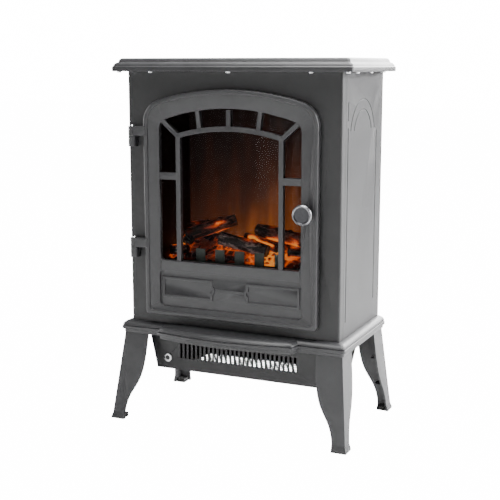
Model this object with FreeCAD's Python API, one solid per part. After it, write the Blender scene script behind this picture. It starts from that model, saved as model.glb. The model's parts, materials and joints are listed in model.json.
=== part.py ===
import FreeCAD, Part
import math
import os

# Electric stove heater: a cabinet on four splayed legs, with a hinged arched door over a
# glazed flame-effect firebox and a fan heater slung under the base.
# Millimetres. +Z is up, -Y is the front. The origin is the centre of the footprint on the floor.

# ---------------------------------------------------------------- cabinet
BODY_WIDTH = 356.2
BODY_DEPTH = 192.4
BODY_HEIGHT = 397.9
SHEET = 1.2
SIDE_SHEET = 1.6
FRONT_CORNER_R = 3.5
FRONT_RETURN = 16.0
JOINT_GAP = 0.3
LAP = 10.0
REAR_FLANGE = 14.0
WALL = 2.5

# ---------------------------------------------------------------- top plate
TOP_OVERHANG_SIDE = 19.9
TOP_OVERHANG_FRONT = 16.4
TOP_OVERHANG_REAR = 5.1
TOP_CORNER_R = 4.0
TOP_BOSS = 6.5
TOP_PILOT_END = 1.5
TOP_PROFILE = (
    (0.6, 0.0), (0.0, 0.8), (0.0, 7.0), (1.4, 7.8), (2.2, 10.6), (4.4, 12.9),
    (7.0, 13.9), (7.6, 14.8), (8.2, 17.2), (9.8, 19.4), (12.0, 20.4),
)

# ---------------------------------------------------------------- base plate and hearth lip
BASE_OVERHANG_SIDE = 13.3
BASE_OVERHANG_FRONT = 13.6
BASE_CORNER_R = 5.0
BASE_STEP = 2.8
BASE_PROFILE = (
    (3.4, 0.0), (BASE_STEP, 0.6), (BASE_STEP, 5.4), (0.4, 6.0), (0.0, 6.6), (0.0, 10.7),
    (0.4, 11.2), (1.7, 11.5), (1.7, 12.1), (0.8, 12.4), (1.1, 13.8), (2.4, 16.0), (4.8, 17.8),
    (8.4, 19.1), (12.9, 19.7),
)
BASE_HOLLOW = (
    (WALL + BASE_STEP, -1.0), (WALL + BASE_STEP, 6.0), (WALL, 8.0), (WALL, 10.6), (WALL + 2.0, 12.2),
)
LIP_PROJECTION = 44.3
LIP_BOW = 14.0
LIP_ROOT_INSET = 60.0
LIP_FRONT_INSET = 63.0

# ---------------------------------------------------------------- legs
LEG_HEIGHT = 142.0
LEG_INSET = 4.9
LEG_FRONT_INSET = 4.6
LEG_REAR_INSET = 5.2
LEG_WALL = 3.0
LEG_SPLAY_X = 14.5
LEG_SPLAY_FRONT = 23.0
LEG_SPLAY_REAR = 16.0
LEG_FLARE = 1.8
LEG_FLARE_HEIGHT = 11.0
LEG_FLARE_FOOT = 4.0
LEG_FOOT_R = 0.6
LEG_WIDTHS = ((1.0, 42.6), (0.65, 43.1), (0.48, 38.9), (0.38, 32.9), (0.29, 26.7), (0.2, 23.0), (0.0, 22.6))
LEG_RIB_LEVELS = (45.0, 90.0)
LEG_RIB = 16.0
LEG_RIB_SHEET = 2.0
LEG_FLANGE = (28.0, 34.0, 3.0)
LEG_FLANGE_LAP = 1.0
FOOT_CLEARANCE = 0.8
FOOT_PAD = 15.0
FOOT_PAD_HEIGHT = 7.0
LEG_SCREW_PLACES = ((11.0, 24.0), (23.0, 12.0))
LEG_SCREW_R = 1.9
LEG_SCREW_LENGTH = 14.0
BOSS_R = 4.0
PILOT_END = 3.0

# ---------------------------------------------------------------- door
DOOR_SIDE_MARGIN = 32.8
DOOR_BOTTOM_MARGIN = 15.8
DOOR_TOP_MARGIN = 26.1
DOOR_GAP = 0.8
DOOR_PLATE = 8.6
DOOR_BEAD = 2.6
DOOR_BEAD_WIDTH = 7.3
DOOR_BEAD_ROUND = 2.2
DOOR_ARCH_R = 436.0
DOOR_SHOULDER_R = 37.0
DOOR_FOOT_R = 5.0
STILE = 26.8
LOWER_RAIL = 89.0
UPPER_RAIL = 28.5
WINDOW_ARCH_R = 340.0
WINDOW_SHOULDER_R = 16.0
WINDOW_FOOT_R = 6.0
BAR = 7.8
BAR_DEPTH = 8.2
BAR_LAP = 2.0
SPOKE_WIDTH = 7.0
SPOKE_LEAN = (0.97, 1.05)
CORNER_BAR_INSET = 2.5
CORNER_BAR_DROP = 17.0
MULLION_INSET = 32.5
ARCH_BAR_DROP = 26.4
ARCH_BAR_R = 310.0
CROSS_BAR_DROP = 100.0
CROSS_BAR_HEIGHT = 11.0
SPOKE_PITCH = 50.0
RECESS_DEPTH = 3.5
RECESS_R = 8.0
RECESS_BOTTOM = 15.0
RECESS_HEIGHT = 57.5
RECESS_SIDE = 2.0
FRAME_BEAD = 4.2
FRAME_BEAD_PROUD = 1.9
FRAME_BOTTOM = 14.5
FRAME_HEIGHT = 33.0
FRAME_INNER = 28.5
FRAME_MARGIN = 4.5
FRAME_BRACKET_R = 8.0
FRAME_BRACKET_INSET = 4.4
FRAME_OUTER_REACH = 3.0

# ---------------------------------------------------------------- door furniture
HINGE_AXIS_GAP = 21.2
HINGE_AXIS_STANDOFF = 8.0
HINGE_R = 6.5
HINGE_PIN_R = 2.5
RUNNING_FIT = 0.05
HINGE_ARM_HEIGHT = 14.5
HINGE_LEG_HEIGHT = 16.8
HINGE_WASHER_GAP = 0.4
HINGE_ARM_DEPTH = 8.0
HINGE_ARM_FORWARD = 1.5
HINGE_ARM_LAP = 4.0
HINGE_PIN_HEAD = (1.4, 1.8)
HINGE_FROM_TOP = 58.0
HINGE_FROM_BOTTOM = 121.5
KNOB_R = 15.5
KNOB_NECK_R = 6.5
KNOB_NECK = 12.0
KNOB_THICKNESS = 9.0
KNOB_DISH = 1.6
KNOB_EDGE_INSET = 18.3
KNOB_BELOW_APEX = 179.5
KNOB_SCREW_R = 2.0
KNOB_SCREW_END = 6.0
KNOB_SCREW_SINK = 0.5
CATCH = (8.0, 24.0, 8.0)
CATCH_FLANGE = (2.0, 5.0)
CATCH_EDGE_INSET = 6.3
CATCH_BELOW_KNOB = 34.0
STRIKE = 1.0

# ---------------------------------------------------------------- glazing and firebox
OPENING_MARGIN = 5.5
GASKET = 5.5
GASKET_DEPTH = 4.8
GLASS = 3.0
LINER_SIDE_GAP = 2.0
LINER_BELOW_WINDOW = 12.5
LINER_ABOVE_WINDOW = 15.0
LINER_FLANGE = 7.5
REAR_SPACE = 76.2
SCREEN = 2.0
GRATE_SETBACK = 30.2
GRATE_SHEET = 1.5
GRATE_TEETH = 5
GRATE_PITCH = 34.0
GRATE_TOOTH = 16.4
GRATE_RAIL_HEIGHT = 8.0
GRATE_TOOTH_HEIGHT = 19.5
BED_FRONT = 8.0
BED_REAR = 40.0
LOG_CLEARANCE = 0.3

# Logs in the fire: place across as a share of the half width, place back as a share of the bed,
# height above the firebox floor, and radius, at each end.
LOGS = {
    "log_long": ((-0.80, 0.20, 43.0, 11.0), (-0.27, 0.74, 67.0, 9.5)),
    "log_front": ((-0.30, 0.12, 44.5, 11.0), (0.33, 0.13, 29.0, 10.0)),
    "log_right": ((0.04, 0.70, 53.5, 10.5), (0.74, 0.42, 43.5, 12.0)),
    "log_middle": ((-0.06, 0.46, 43.5, 8.0), (0.42, 0.30, 31.0, 7.0)),
    "log_left_stump": ((-0.70, 0.10, 39.0, 7.5), (-0.86, 0.34, 30.0, 8.0)),
    "log_back_left": ((-0.95, 0.84, 51.0, 6.0), (-0.60, 0.90, 59.0, 5.0)),
    "log_right_stub": ((0.60, 0.12, 32.0, 8.0), (0.93, 0.22, 28.0, 9.0)),
    "log_left_stub": ((-0.97, 0.08, 20.0, 8.0), (-0.74, 0.16, 23.0, 7.2)),
}

# ---------------------------------------------------------------- flame effect
FLAME_AXIS_BEHIND_SCREEN = 30.0
FLAME_AXIS_HEIGHT = 36.0
FLAME_ROD_R = 1.5
FLAME_ROTOR_INSET = 21.5
FLAME_FIN = (16.0, 0.8, 12.0)
FLAME_FIN_GAP = 7.0
FLAME_FIN_TWIST = 30.0
ROTOR_BRACKET_GAP = 1.0
ROTOR_BRACKET_FOOT = 12.0
ROTOR_BRACKET_SETBACK = 2.5
ROTOR_BRACKET_TOP = 14.0
BUSH_PROUD = 3.0
FLAME_MOTOR_EAR = (1.5, 5.0)
MOTOR_BORE = 4.0
FLAME_MOTOR_R = 17.0
FLAME_MOTOR_LENGTH = 14.0
BUSH_R = 5.0
BUSH_LENGTH = 5.0
LED_BOARD_INSET = 10.0
LED_BOARD = (16.0, 1.6)
LED_COUNT = 10
LED_R = 2.5
LED_HEIGHT = 3.0

# ---------------------------------------------------------------- controls behind the door
TRAY_INSET = 14.5
TRAY_DEPTH = 18.0
TRAY_ABOVE_DOOR_FOOT = 21.5
TRAY_HEIGHT = 45.0
TRAY_FLANGE = 5.0
ROCKER_R = 9.5
ROCKER_WIDTH = 11.0
ROCKER_CLEARANCE = 0.4
ROCKER_NOSE = 5.4
ROCKER_TILT = 8.0
ROCKER_TRAVEL = 16.0
SWITCH_SHARES = (("flame_switch", -0.75), ("low_heat_switch", -0.443), ("high_heat_switch", -0.135))
SWITCH_BEZEL = (17.0, 25.0, 1.6)
SWITCH_BODY = (14.0, 21.4, 16.0)
DIAL_SHARE = 0.52
DIAL_R = 13.0
DIAL_THICKNESS = 8.5
DIAL_SHAFT_R = 3.0
DIAL_STANDOFF = 2.0
THERMOSTAT_R = 16.0
THERMOSTAT_DEPTH = 17.0
THERMOSTAT_NECK_R = 5.0
DIAL_RIDGE = (3.0, 2.0, 9.0)
DIAL_FLUTE_R = 1.2
DIAL_FLUTES = 18
DIAL_SPINDLE_REACH = 10.0
TAB = (4.8, 7.0, 0.8)

# ---------------------------------------------------------------- fan heater under the base
HOUSING_SETBACK = 20.0
HOUSING_SIDE_INSET = 22.1
HOUSING_TAPER = 12.0
HOUSING_DROP = 62.3
HOUSING_TAPER_DROP = 8.0
HOUSING_REAR_GAP = 4.6
SLOT_COUNT = 27
SLOT_PITCH = 7.66
SLOT_WIDTH = 3.9
SLOT_HEIGHT = 24.0
SLOT_BELOW_BASE = 18.0
GRILLE_SIDE_INSET = 34.0
GRILLE_DEPTH = 62.0
GRILLE_REAR_GAP = 35.0
GRILLE_MARGIN = 5.0
GRILLE_SHEET = 0.8
GRILLE_HOLE_R = 3.4
GRILLE_PITCH = 9.4
ROTOR_R = 20.0
ROTOR_FROM_BACK = 61.0
ROTOR_ABOVE_BASE = 10.0
ROTOR_LEFT_INSET = 74.1
ROTOR_RIGHT_INSET = 102.1
ROTOR_DISC = 1.6
ROTOR_BLADES = 18
ROTOR_BLADE = (7.0, 0.9)
ROTOR_SHAFT_R = 2.5
SCROLL_GAP = 5.0
SCROLL_END_GAP = 2.5
SCROLL_FLANGE = 10.0
BEARING_R = 5.5
BLOWER_MOTOR_R = 22.0
BLOWER_MOTOR_LENGTH = 26.0
ELEMENT_END_GAP = 20.0
ELEMENT_HEIGHT = 26.0
ELEMENT_DEPTH = 13.0
ELEMENT_SCROLL_GAP = 2.8
ELEMENT_BELOW_BASE = 4.0
ELEMENT_FINS = 36
ELEMENT_FIN = 1.0
ELEMENT_TUBE = 3.0
ELEMENT_FIN_END = 6.0
ELEMENT_FLANGE = 14.0
MOTOR_CAP = (8.0, 4.0)
BRACKET_SHEET = 1.2
CUTOUT_R = 8.0
CUTOUT_HEIGHT = 6.0

# ---------------------------------------------------------------- back, cord entry and screws
BACK_SCREW_SHARES = (0.06, 0.35, 0.65, 0.94)
VENT_ROWS = 2
VENT_COLUMNS = 14
VENT_PITCH = 12.0
VENT_WIDTH = 4.0
VENT_HEIGHT = 30.0
VENT_ROW_PITCH = 150.0
GLAND_FROM_SIDE = 38.0
GLAND_ABOVE_BASE = 26.0
GLAND_BORE_R = 3.6
GLAND_BARREL_R = 6.5
GLAND_FLANGE_R = 9.0
GLAND_FLANGE = 4.0
GLAND_TAIL = 14.0
GLAND_ROUND = 1.2
GLAND_NUT = 3.0
GLAND_NUT_R = 8.5
TERMINAL_BLOCK = (44.0, 18.0, 13.0)
TERMINAL_TOWER = 7.0
SCREW_R = 1.6
SCREW_HEAD_R = 3.6
SCREW_HEAD = 2.0
SCREW_LENGTH = 8.0
HOLE_CLEARANCE = 0.4
BADGE_SCREW_R = 7.0
BADGE_SCREW_INSET = 20.0
BADGE_SCREW_UP = 18.5

# ---------------------------------------------------------------- side panel pressing
PRESS_WIDTH = 2.4
PRESS_DEPTH = 0.9
PRESS_FRONT = 25.2
PRESS_REAR = 31.2
PRESS_FOOT = 24.6
PRESS_LINE_TOP = 90.6
PRESS_FRONT_RISE = 9.5
PRESS_REAR_LIFT = 10.5
PRESS_ARCH_START = 12.0
PRESS_ARCH_DROP = 98.6
PRESS_ARCH_RADII = (42.5, 58.0)
PRESS_CREST = (43.6, 27.4)

# ---------------------------------------------------------------- places worked out from the sizes
REAR_FOOT_PROJECTION = LEG_SPLAY_REAR * (1 - FOOT_CLEARANCE / LEG_HEIGHT) + LEG_FLARE - LEG_REAR_INSET
FRONT = LIP_PROJECTION - (LIP_PROJECTION + BODY_DEPTH + REAR_FOOT_PROJECTION) / 2
BACK = FRONT + BODY_DEPTH
HALF = BODY_WIDTH / 2
BASE_HEIGHT = BASE_PROFILE[-1][1]
TOP_HEIGHT = TOP_PROFILE[-1][1]
BASE_Z = LEG_HEIGHT
BODY_Z = BASE_Z + BASE_HEIGHT
CROWN_Z = BODY_Z + BODY_HEIGHT
BASE_HALF = HALF + BASE_OVERHANG_SIDE
BASE_FRONT = FRONT - BASE_OVERHANG_FRONT
BASE_ROOF_Z = BODY_Z - WALL
TOP_HALF = HALF + TOP_OVERHANG_SIDE
TOP_FRONT = FRONT - TOP_OVERHANG_FRONT
TOP_BACK = BACK + TOP_OVERHANG_REAR

DOOR_HALF = HALF - DOOR_SIDE_MARGIN
DOOR_Z = BODY_Z + DOOR_BOTTOM_MARGIN
DOOR_APEX = CROWN_Z - DOOR_TOP_MARGIN
DOOR_BACK = FRONT - DOOR_GAP
DOOR_FACE = DOOR_BACK - DOOR_PLATE
WINDOW_HALF = DOOR_HALF - STILE
WINDOW_Z = DOOR_Z + LOWER_RAIL
WINDOW_APEX = DOOR_APEX - UPPER_RAIL
MULLION_X = WINDOW_HALF - MULLION_INSET
HINGE_X = -DOOR_HALF - HINGE_AXIS_GAP
HINGE_Y = FRONT - HINGE_AXIS_STANDOFF
HINGE_LEVELS = (DOOR_Z + HINGE_FROM_BOTTOM - HINGE_ARM_HEIGHT,
                DOOR_APEX - HINGE_FROM_TOP - HINGE_ARM_HEIGHT)
KNOB_X = DOOR_HALF - KNOB_EDGE_INSET
KNOB_Z = DOOR_APEX - KNOB_BELOW_APEX
CATCH_X = DOOR_HALF - CATCH_EDGE_INSET
CATCH_Z = KNOB_Z - CATCH_BELOW_KNOB

OPENING_HALF = WINDOW_HALF + OPENING_MARGIN
OPENING_Z = WINDOW_Z - OPENING_MARGIN + 1.0
OPENING_APEX = WINDOW_APEX + OPENING_MARGIN
GASKET_HALF = OPENING_HALF + GASKET
GASKET_Z = OPENING_Z - GASKET
GASKET_APEX = OPENING_APEX + GASKET
GLASS_Y = FRONT + SHEET + GASKET_DEPTH
LINER_Y = GLASS_Y + GLASS
LINER_HALF = GASKET_HALF + LINER_SIDE_GAP
FLOOR_Z = WINDOW_Z - LINER_BELOW_WINDOW
ROOF_Z = WINDOW_APEX + LINER_ABOVE_WINDOW
SCREEN_Y = BACK - REAR_SPACE
GRATE_Y = FRONT + GRATE_SETBACK
SHELF_Y = SCREEN_Y + 2 * FLAME_AXIS_BEHIND_SCREEN - 10.0
FLAME_Y = SCREEN_Y + FLAME_AXIS_BEHIND_SCREEN
FLAME_Z = FLOOR_Z + FLAME_AXIS_HEIGHT

FLAME_ROTOR_HALF = LINER_HALF - FLAME_ROTOR_INSET
FLAME_FIN_PITCH = FLAME_FIN[0] + FLAME_FIN_GAP
FLAME_FIN_ROWS = int(2 * FLAME_ROTOR_HALF / FLAME_FIN_PITCH)

TRAY_HALF = WINDOW_HALF - TRAY_INSET
SWITCH_PLACES = tuple((name, TRAY_HALF * share) for name, share in SWITCH_SHARES)
DIAL_X = TRAY_HALF * DIAL_SHARE
TRAY_Z = DOOR_Z + TRAY_ABOVE_DOOR_FOOT
TRAY_MID_Z = TRAY_Z + TRAY_HEIGHT / 2
TRAY_BACK = FRONT + SHEET + TRAY_DEPTH
ROCKER_Y = TRAY_BACK - SHEET

HOUSING_TOP_HALF = HALF - HOUSING_SIDE_INSET
HOUSING_BOTTOM_HALF = HOUSING_TOP_HALF - HOUSING_TAPER
GRILLE_HALF = HOUSING_BOTTOM_HALF - GRILLE_SIDE_INSET
ELEMENT_HALF = GRILLE_HALF - ELEMENT_END_GAP
ROTOR_LEFT = -HALF + ROTOR_LEFT_INSET
ROTOR_RIGHT = HALF - ROTOR_RIGHT_INSET
BADGE_SCREW_X = -HOUSING_BOTTOM_HALF + BADGE_SCREW_INSET
HOUSING_Y = FRONT + HOUSING_SETBACK
HOUSING_Z = BASE_Z - HOUSING_DROP
ROTOR_Y = BACK - ROTOR_FROM_BACK
ROTOR_Z = BASE_Z + ROTOR_ABOVE_BASE
SCROLL_R = ROTOR_R + SCROLL_GAP
HOUSING_BACK = ROTOR_Y + SCROLL_R + 2 * SHEET + HOUSING_REAR_GAP
SCROLL_LEFT = ROTOR_LEFT - SCROLL_END_GAP
SCROLL_RIGHT = ROTOR_RIGHT + SCROLL_END_GAP
ELEMENT_Y = ROTOR_Y - SCROLL_R - SHEET - ELEMENT_DEPTH - ELEMENT_SCROLL_GAP
ELEMENT_TOP = BASE_Z - ELEMENT_BELOW_BASE

GLAND_X = HALF - GLAND_FROM_SIDE
GLAND_Z = BODY_Z + GLAND_ABOVE_BASE

X_AXIS = FreeCAD.Vector(1, 0, 0)
Y_AXIS = FreeCAD.Vector(0, 1, 0)
Z_AXIS = FreeCAD.Vector(0, 0, 1)
FAR = 1000.0


# ================================================================ shape helpers
def block(x0, x1, y0, y1, z0, z1):
    return Part.makeBox(x1 - x0, y1 - y0, z1 - z0, FreeCAD.Vector(x0, y0, z0))


def rod(radius, length, x, y, z, axis):
    return Part.makeCylinder(radius, length, FreeCAD.Vector(x, y, z), axis)


def fuse(shapes):
    whole = shapes[0].multiFuse(shapes[1:]) if len(shapes) > 1 else shapes[0]
    return whole.removeSplitter()


def cut(shape, tools):
    return shape.cut(Part.makeCompound(tools))


def face_of(edges):
    return Part.Face(Part.Wire(edges))


def polygon(points):
    return Part.Face(Part.makePolygon(points + [points[0]]))


def prism_xz(points, y0, y1):
    face = polygon([FreeCAD.Vector(x, y0, z) for x, z in points])
    return face.extrude(FreeCAD.Vector(0, y1 - y0, 0))


def prism_yz(points, x0, x1):
    face = polygon([FreeCAD.Vector(x0, y, z) for y, z in points])
    return face.extrude(FreeCAD.Vector(x1 - x0, 0, 0))


def rounded_wire(x0, x1, y0, y1, z, radius):
    """A level rectangle with four rounded corners."""
    edges = []
    corners = ((x1 - radius, y0 + radius, -90), (x1 - radius, y1 - radius, 0),
               (x0 + radius, y1 - radius, 90), (x0 + radius, y0 + radius, 180))
    ends = []
    for cx, cy, start in corners:
        points = []
        for turn in (0, 45, 90):
            angle = math.radians(start + turn)
            points.append(FreeCAD.Vector(cx + radius * math.cos(angle), cy + radius * math.sin(angle), z))
        ends.append(points)
    for index, points in enumerate(ends):
        edges.append(Part.Arc(*points).toShape())
        edges.append(Part.LineSegment(points[2], ends[(index + 1) % 4][0]).toShape())
    return Part.Wire(edges)


def arch_outline(half, foot, apex, arch_r, shoulder_r, foot_r, y):
    """A tall outline with a shallow arched head, round shoulders and round lower corners."""
    spring = FreeCAD.Vector(0, y, apex - arch_r)
    reach = arch_r - shoulder_r
    offset = half - shoulder_r
    shoulder_z = spring.z + math.sqrt(reach ** 2 - offset ** 2)
    lean = math.atan2(shoulder_z - spring.z, offset)

    def shoulder(side, angle):
        return FreeCAD.Vector(side * (offset + shoulder_r * math.cos(angle)), y,
                              shoulder_z + shoulder_r * math.sin(angle))

    def corner(side, angle):
        return FreeCAD.Vector(side * (half - foot_r + foot_r * math.cos(angle)), y,
                              foot + foot_r - foot_r * math.sin(angle))

    quarter = math.pi / 2
    right = [shoulder(1, a) for a in (0, lean / 2, lean)]
    left = [shoulder(-1, a) for a in (0, lean / 2, lean)]
    right_foot = [corner(1, a) for a in (0, quarter / 2, quarter)]
    left_foot = [corner(-1, a) for a in (0, quarter / 2, quarter)]
    return [
        Part.LineSegment(right_foot[0], right[0]).toShape(),
        Part.Arc(*right).toShape(),
        Part.Arc(right[2], FreeCAD.Vector(0, y, apex), left[2]).toShape(),
        Part.Arc(left[2], left[1], left[0]).toShape(),
        Part.LineSegment(left[0], left_foot[0]).toShape(),
        Part.Arc(*left_foot).toShape(),
        Part.LineSegment(left_foot[2], right_foot[2]).toShape(),
        Part.Arc(right_foot[2], right_foot[1], right_foot[0]).toShape(),
    ]


def arch_prism(half, foot, apex, arch_r, shoulder_r, foot_r, y0, y1):
    face = face_of(arch_outline(half, foot, apex, arch_r, shoulder_r, foot_r, y0))
    return face.extrude(FreeCAD.Vector(0, y1 - y0, 0))


def window_prism(grow, y0, y1):
    """The arched window outline, grown all round."""
    return arch_prism(WINDOW_HALF + grow, WINDOW_Z - grow, WINDOW_APEX + grow, WINDOW_ARCH_R + grow,
                      WINDOW_SHOULDER_R + grow, WINDOW_FOOT_R + grow, y0, y1)


def stacked(wires):
    return Part.makeLoft(wires, True, True)


def screw(x, y, z, axis, length=SCREW_LENGTH, radius=SCREW_R, head_r=SCREW_HEAD_R, head=SCREW_HEAD):
    """A pan-head screw whose head seats at the point, with its shank running along the axis."""
    point = FreeCAD.Vector(x, y, z)
    shank = Part.makeCylinder(radius, length, point, axis)
    cap = Part.makeCylinder(head_r, head, point - axis * head, axis)
    return shank.fuse(cap)


# ================================================================ top
def top_screw_places():
    """Screw places under the overhang: across the front and down both sides."""
    front_y = (TOP_FRONT + FRONT) / 2
    side_x = (TOP_HALF + HALF) / 2
    places = [(x, front_y) for x in (-side_x, -TOP_HALF * 2 / 3, 0, TOP_HALF * 2 / 3, side_x)]
    for step in (-1, 0, 1):
        y = (FRONT + BACK) / 2 + step * BODY_DEPTH / 3
        places += [(-side_x, y), (side_x, y)]
    return places


def top_plate():
    wires = [rounded_wire(-TOP_HALF + inset, TOP_HALF - inset, TOP_FRONT + inset, TOP_BACK - inset,
                          CROWN_Z + height, TOP_CORNER_R) for inset, height in TOP_PROFILE]
    rim = TOP_PROFILE[2][1] - 1.0
    crown_inset = TOP_PROFILE[-1][0] + WALL
    hollow = [(WALL, -1.0), (WALL, rim), (crown_inset, TOP_HEIGHT - WALL)]
    inside = [rounded_wire(-TOP_HALF + inset, TOP_HALF - inset, TOP_FRONT + inset, TOP_BACK - inset,
                           CROWN_Z + height, TOP_CORNER_R) for inset, height in hollow]
    shell = stacked(wires).cut(stacked(inside))
    boss_top = rim + TOP_BOSS
    tall = boss_top - SHEET
    bosses = [rod(BOSS_R, tall, x, y, CROWN_Z + SHEET, Z_AXIS) for x, y in top_screw_places()]
    pilots = [rod(SCREW_R, tall - TOP_PILOT_END, x, y, CROWN_Z + SHEET, Z_AXIS)
              for x, y in top_screw_places()]
    return cut(fuse([shell] + bosses), pilots)


def top_underplate():
    inset = WALL + JOINT_GAP
    wire = rounded_wire(-TOP_HALF + inset, TOP_HALF - inset, TOP_FRONT + inset, TOP_BACK - inset,
                        CROWN_Z, TOP_CORNER_R)
    plate = Part.Face(wire).extrude(Z_AXIS * SHEET)
    hole_r = SCREW_R + HOLE_CLEARANCE
    holes = [rod(hole_r, 3 * SHEET, x, y, CROWN_Z - SHEET, Z_AXIS) for x, y in top_screw_places()]
    return cut(plate, holes)


def top_screws():
    return Part.makeCompound([screw(x, y, CROWN_Z, Z_AXIS) for x, y in top_screw_places()])


# ================================================================ cabinet panels
def front_panel():
    """The front sheet, wrapped round both corners into short returns."""
    depth = FRONT_RETURN + FRONT_CORNER_R
    outer = Part.Face(rounded_wire(-HALF, HALF, FRONT, FRONT + 3 * depth, BODY_Z, FRONT_CORNER_R))
    inner = Part.Face(rounded_wire(-HALF + SHEET, HALF - SHEET, FRONT + SHEET, FRONT + 3 * depth, BODY_Z,
                                   FRONT_CORNER_R - SHEET))
    skin = outer.cut(inner).extrude(Z_AXIS * BODY_HEIGHT)
    skin = skin.common(block(-HALF, HALF, FRONT, FRONT + FRONT_RETURN, BODY_Z, CROWN_Z))
    tools = [
        window_prism(OPENING_MARGIN, FRONT - SHEET, FRONT + 2 * SHEET),
        block(-TRAY_HALF, TRAY_HALF, FRONT - SHEET, FRONT + 2 * SHEET, TRAY_Z, TRAY_Z + TRAY_HEIGHT),
        catch_block(JOINT_GAP),
    ]
    return cut(skin, tools)


def press_lines(side):
    """Grooves pressed into a side panel: two uprights and two nested arches."""
    x0 = side * (HALF - PRESS_DEPTH)
    x1 = side * (HALF + PRESS_DEPTH)
    low, high = min(x0, x1), max(x0, x1)
    front_y = FRONT + PRESS_FRONT
    rear_y = BACK - PRESS_REAR
    foot = BODY_Z + PRESS_FOOT
    line_top = CROWN_Z - PRESS_LINE_TOP
    half = PRESS_WIDTH / 2
    tools = [
        block(low, high, front_y - half, front_y + half, foot, line_top + PRESS_FRONT_RISE),
        block(low, high, front_y - half, front_y + half, CROWN_Z - PRESS_CREST[0] - PRESS_CREST[1],
              CROWN_Z - PRESS_CREST[0]),
        block(low, high, rear_y - half, rear_y + half, foot + PRESS_REAR_LIFT, line_top),
    ]
    middle = (front_y + rear_y) / 2
    centre_z = CROWN_Z - PRESS_ARCH_DROP
    above = block(low, high, middle - FAR, middle + FAR, centre_z + PRESS_ARCH_START, centre_z + FAR)
    for radius in PRESS_ARCH_RADII:
        ring = rod(radius + half, high - low, low, middle, centre_z, X_AXIS)
        ring = ring.cut(rod(radius - half, high - low, low, middle, centre_z, X_AXIS))
        tools.append(ring.common(above))
    return tools


def side_panel(side):
    """A side sheet with a lapped front edge, a rear flange and pressed grooves."""
    start = FRONT + FRONT_RETURN + JOINT_GAP
    flange_back = BACK - SHEET

    def strip(inner, outer, y0, y1):
        low, high = sorted((side * inner, side * outer))
        return block(low, high, y0, y1, BODY_Z, CROWN_Z)

    lap_outer = HALF - SHEET - 0.1
    parts = [
        strip(HALF - SIDE_SHEET, HALF, start, flange_back),
        strip(lap_outer - SHEET, lap_outer, start - LAP, start + LAP),
        strip(HALF - REAR_FLANGE, HALF, flange_back - SIDE_SHEET, flange_back),
    ]
    pilots = [rod(SCREW_R, REAR_FLANGE, x, flange_back - REAR_FLANGE, z, Y_AXIS)
              for x, z in back_screw_places() if x * side > 0]
    return cut(fuse(parts), press_lines(side) + pilots)


def back_screw_places():
    x = HALF - REAR_FLANGE / 2
    return [(side * x, BODY_Z + BODY_HEIGHT * share) for side in (-1, 1) for share in BACK_SCREW_SHARES]


def back_panel():
    sheet = block(-HALF, HALF, BACK - SHEET, BACK, BODY_Z, CROWN_Z)
    tools = [rod(GLAND_BARREL_R, 3 * SHEET, GLAND_X, BACK - 2 * SHEET, GLAND_Z, Y_AXIS)]
    for x, z in back_screw_places():
        tools.append(rod(SCREW_R + HOLE_CLEARANCE, 3 * SHEET, x, BACK - 2 * SHEET, z, Y_AXIS))
    for row in range(VENT_ROWS):
        z = FLAME_Z - VENT_HEIGHT / 2 + row * VENT_ROW_PITCH
        for column in range(VENT_COLUMNS):
            x = (column - (VENT_COLUMNS - 1) / 2) * VENT_PITCH
            tools.append(block(x - VENT_WIDTH / 2, x + VENT_WIDTH / 2, BACK - 2 * SHEET, BACK + SHEET,
                               z, z + VENT_HEIGHT))
    return cut(sheet, tools)


def back_panel_screws():
    return Part.makeCompound([screw(x, BACK, z, -Y_AXIS, SHEET + 0.5) for x, z in back_screw_places()])


# ================================================================ base plate
def lip_wire(inset, z):
    """The hearth lip's outline: angled ends and a bowed front."""
    root = HALF - LIP_ROOT_INSET - inset
    front = HALF - LIP_FRONT_INSET - inset
    corner_y = FRONT - LIP_PROJECTION + LIP_BOW + inset
    rim_y = BASE_FRONT + inset
    inner_y = FRONT + WALL
    points = [FreeCAD.Vector(x, y, z) for x, y in (
        (-root, inner_y), (-root, rim_y), (-front, corner_y), (front, corner_y), (root, rim_y),
        (root, inner_y))]
    nose = FreeCAD.Vector(0, FRONT - LIP_PROJECTION + inset, z)
    edges = [Part.LineSegment(points[i], points[(i + 1) % 6]).toShape() for i in (0, 1, 3, 4, 5)]
    edges.insert(2, Part.Arc(points[2], nose, points[3]).toShape())
    return Part.Wire(edges)


def base_form(levels):
    main = [rounded_wire(-BASE_HALF + inset, BASE_HALF - inset, BASE_FRONT + inset, BACK - grow,
                         BASE_Z + height, BASE_CORNER_R) for inset, height, grow in levels]
    lip = [lip_wire(inset, BASE_Z + height) for inset, height, grow in levels]
    return stacked(main).fuse(stacked(lip))


def leg_corners():
    """Each leg's outer top corner and the sides it faces."""
    x = BASE_HALF - LEG_INSET
    front = BASE_FRONT + LEG_FRONT_INSET
    rear = BACK - LEG_REAR_INSET
    return {
        "leg_front_left": (-1, -1, x, front), "leg_front_right": (1, -1, x, front),
        "leg_rear_left": (-1, 1, x, rear), "leg_rear_right": (1, 1, x, rear),
    }


def leg_screw_places():
    places = []
    for side, end, x, y in leg_corners().values():
        for across, along in LEG_SCREW_PLACES:
            places.append((side * (x - across), y - end * along))
    return places


def base_opening():
    """The hole in the base's roof that the blower stands through."""
    return block(SCROLL_LEFT - 6.0, SCROLL_RIGHT + BLOWER_MOTOR_LENGTH + 12.0, ROTOR_Y - SCROLL_R - 3.0,
                 ROTOR_Y + SCROLL_R + 3.0, BASE_Z, BODY_Z + WALL)


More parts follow.
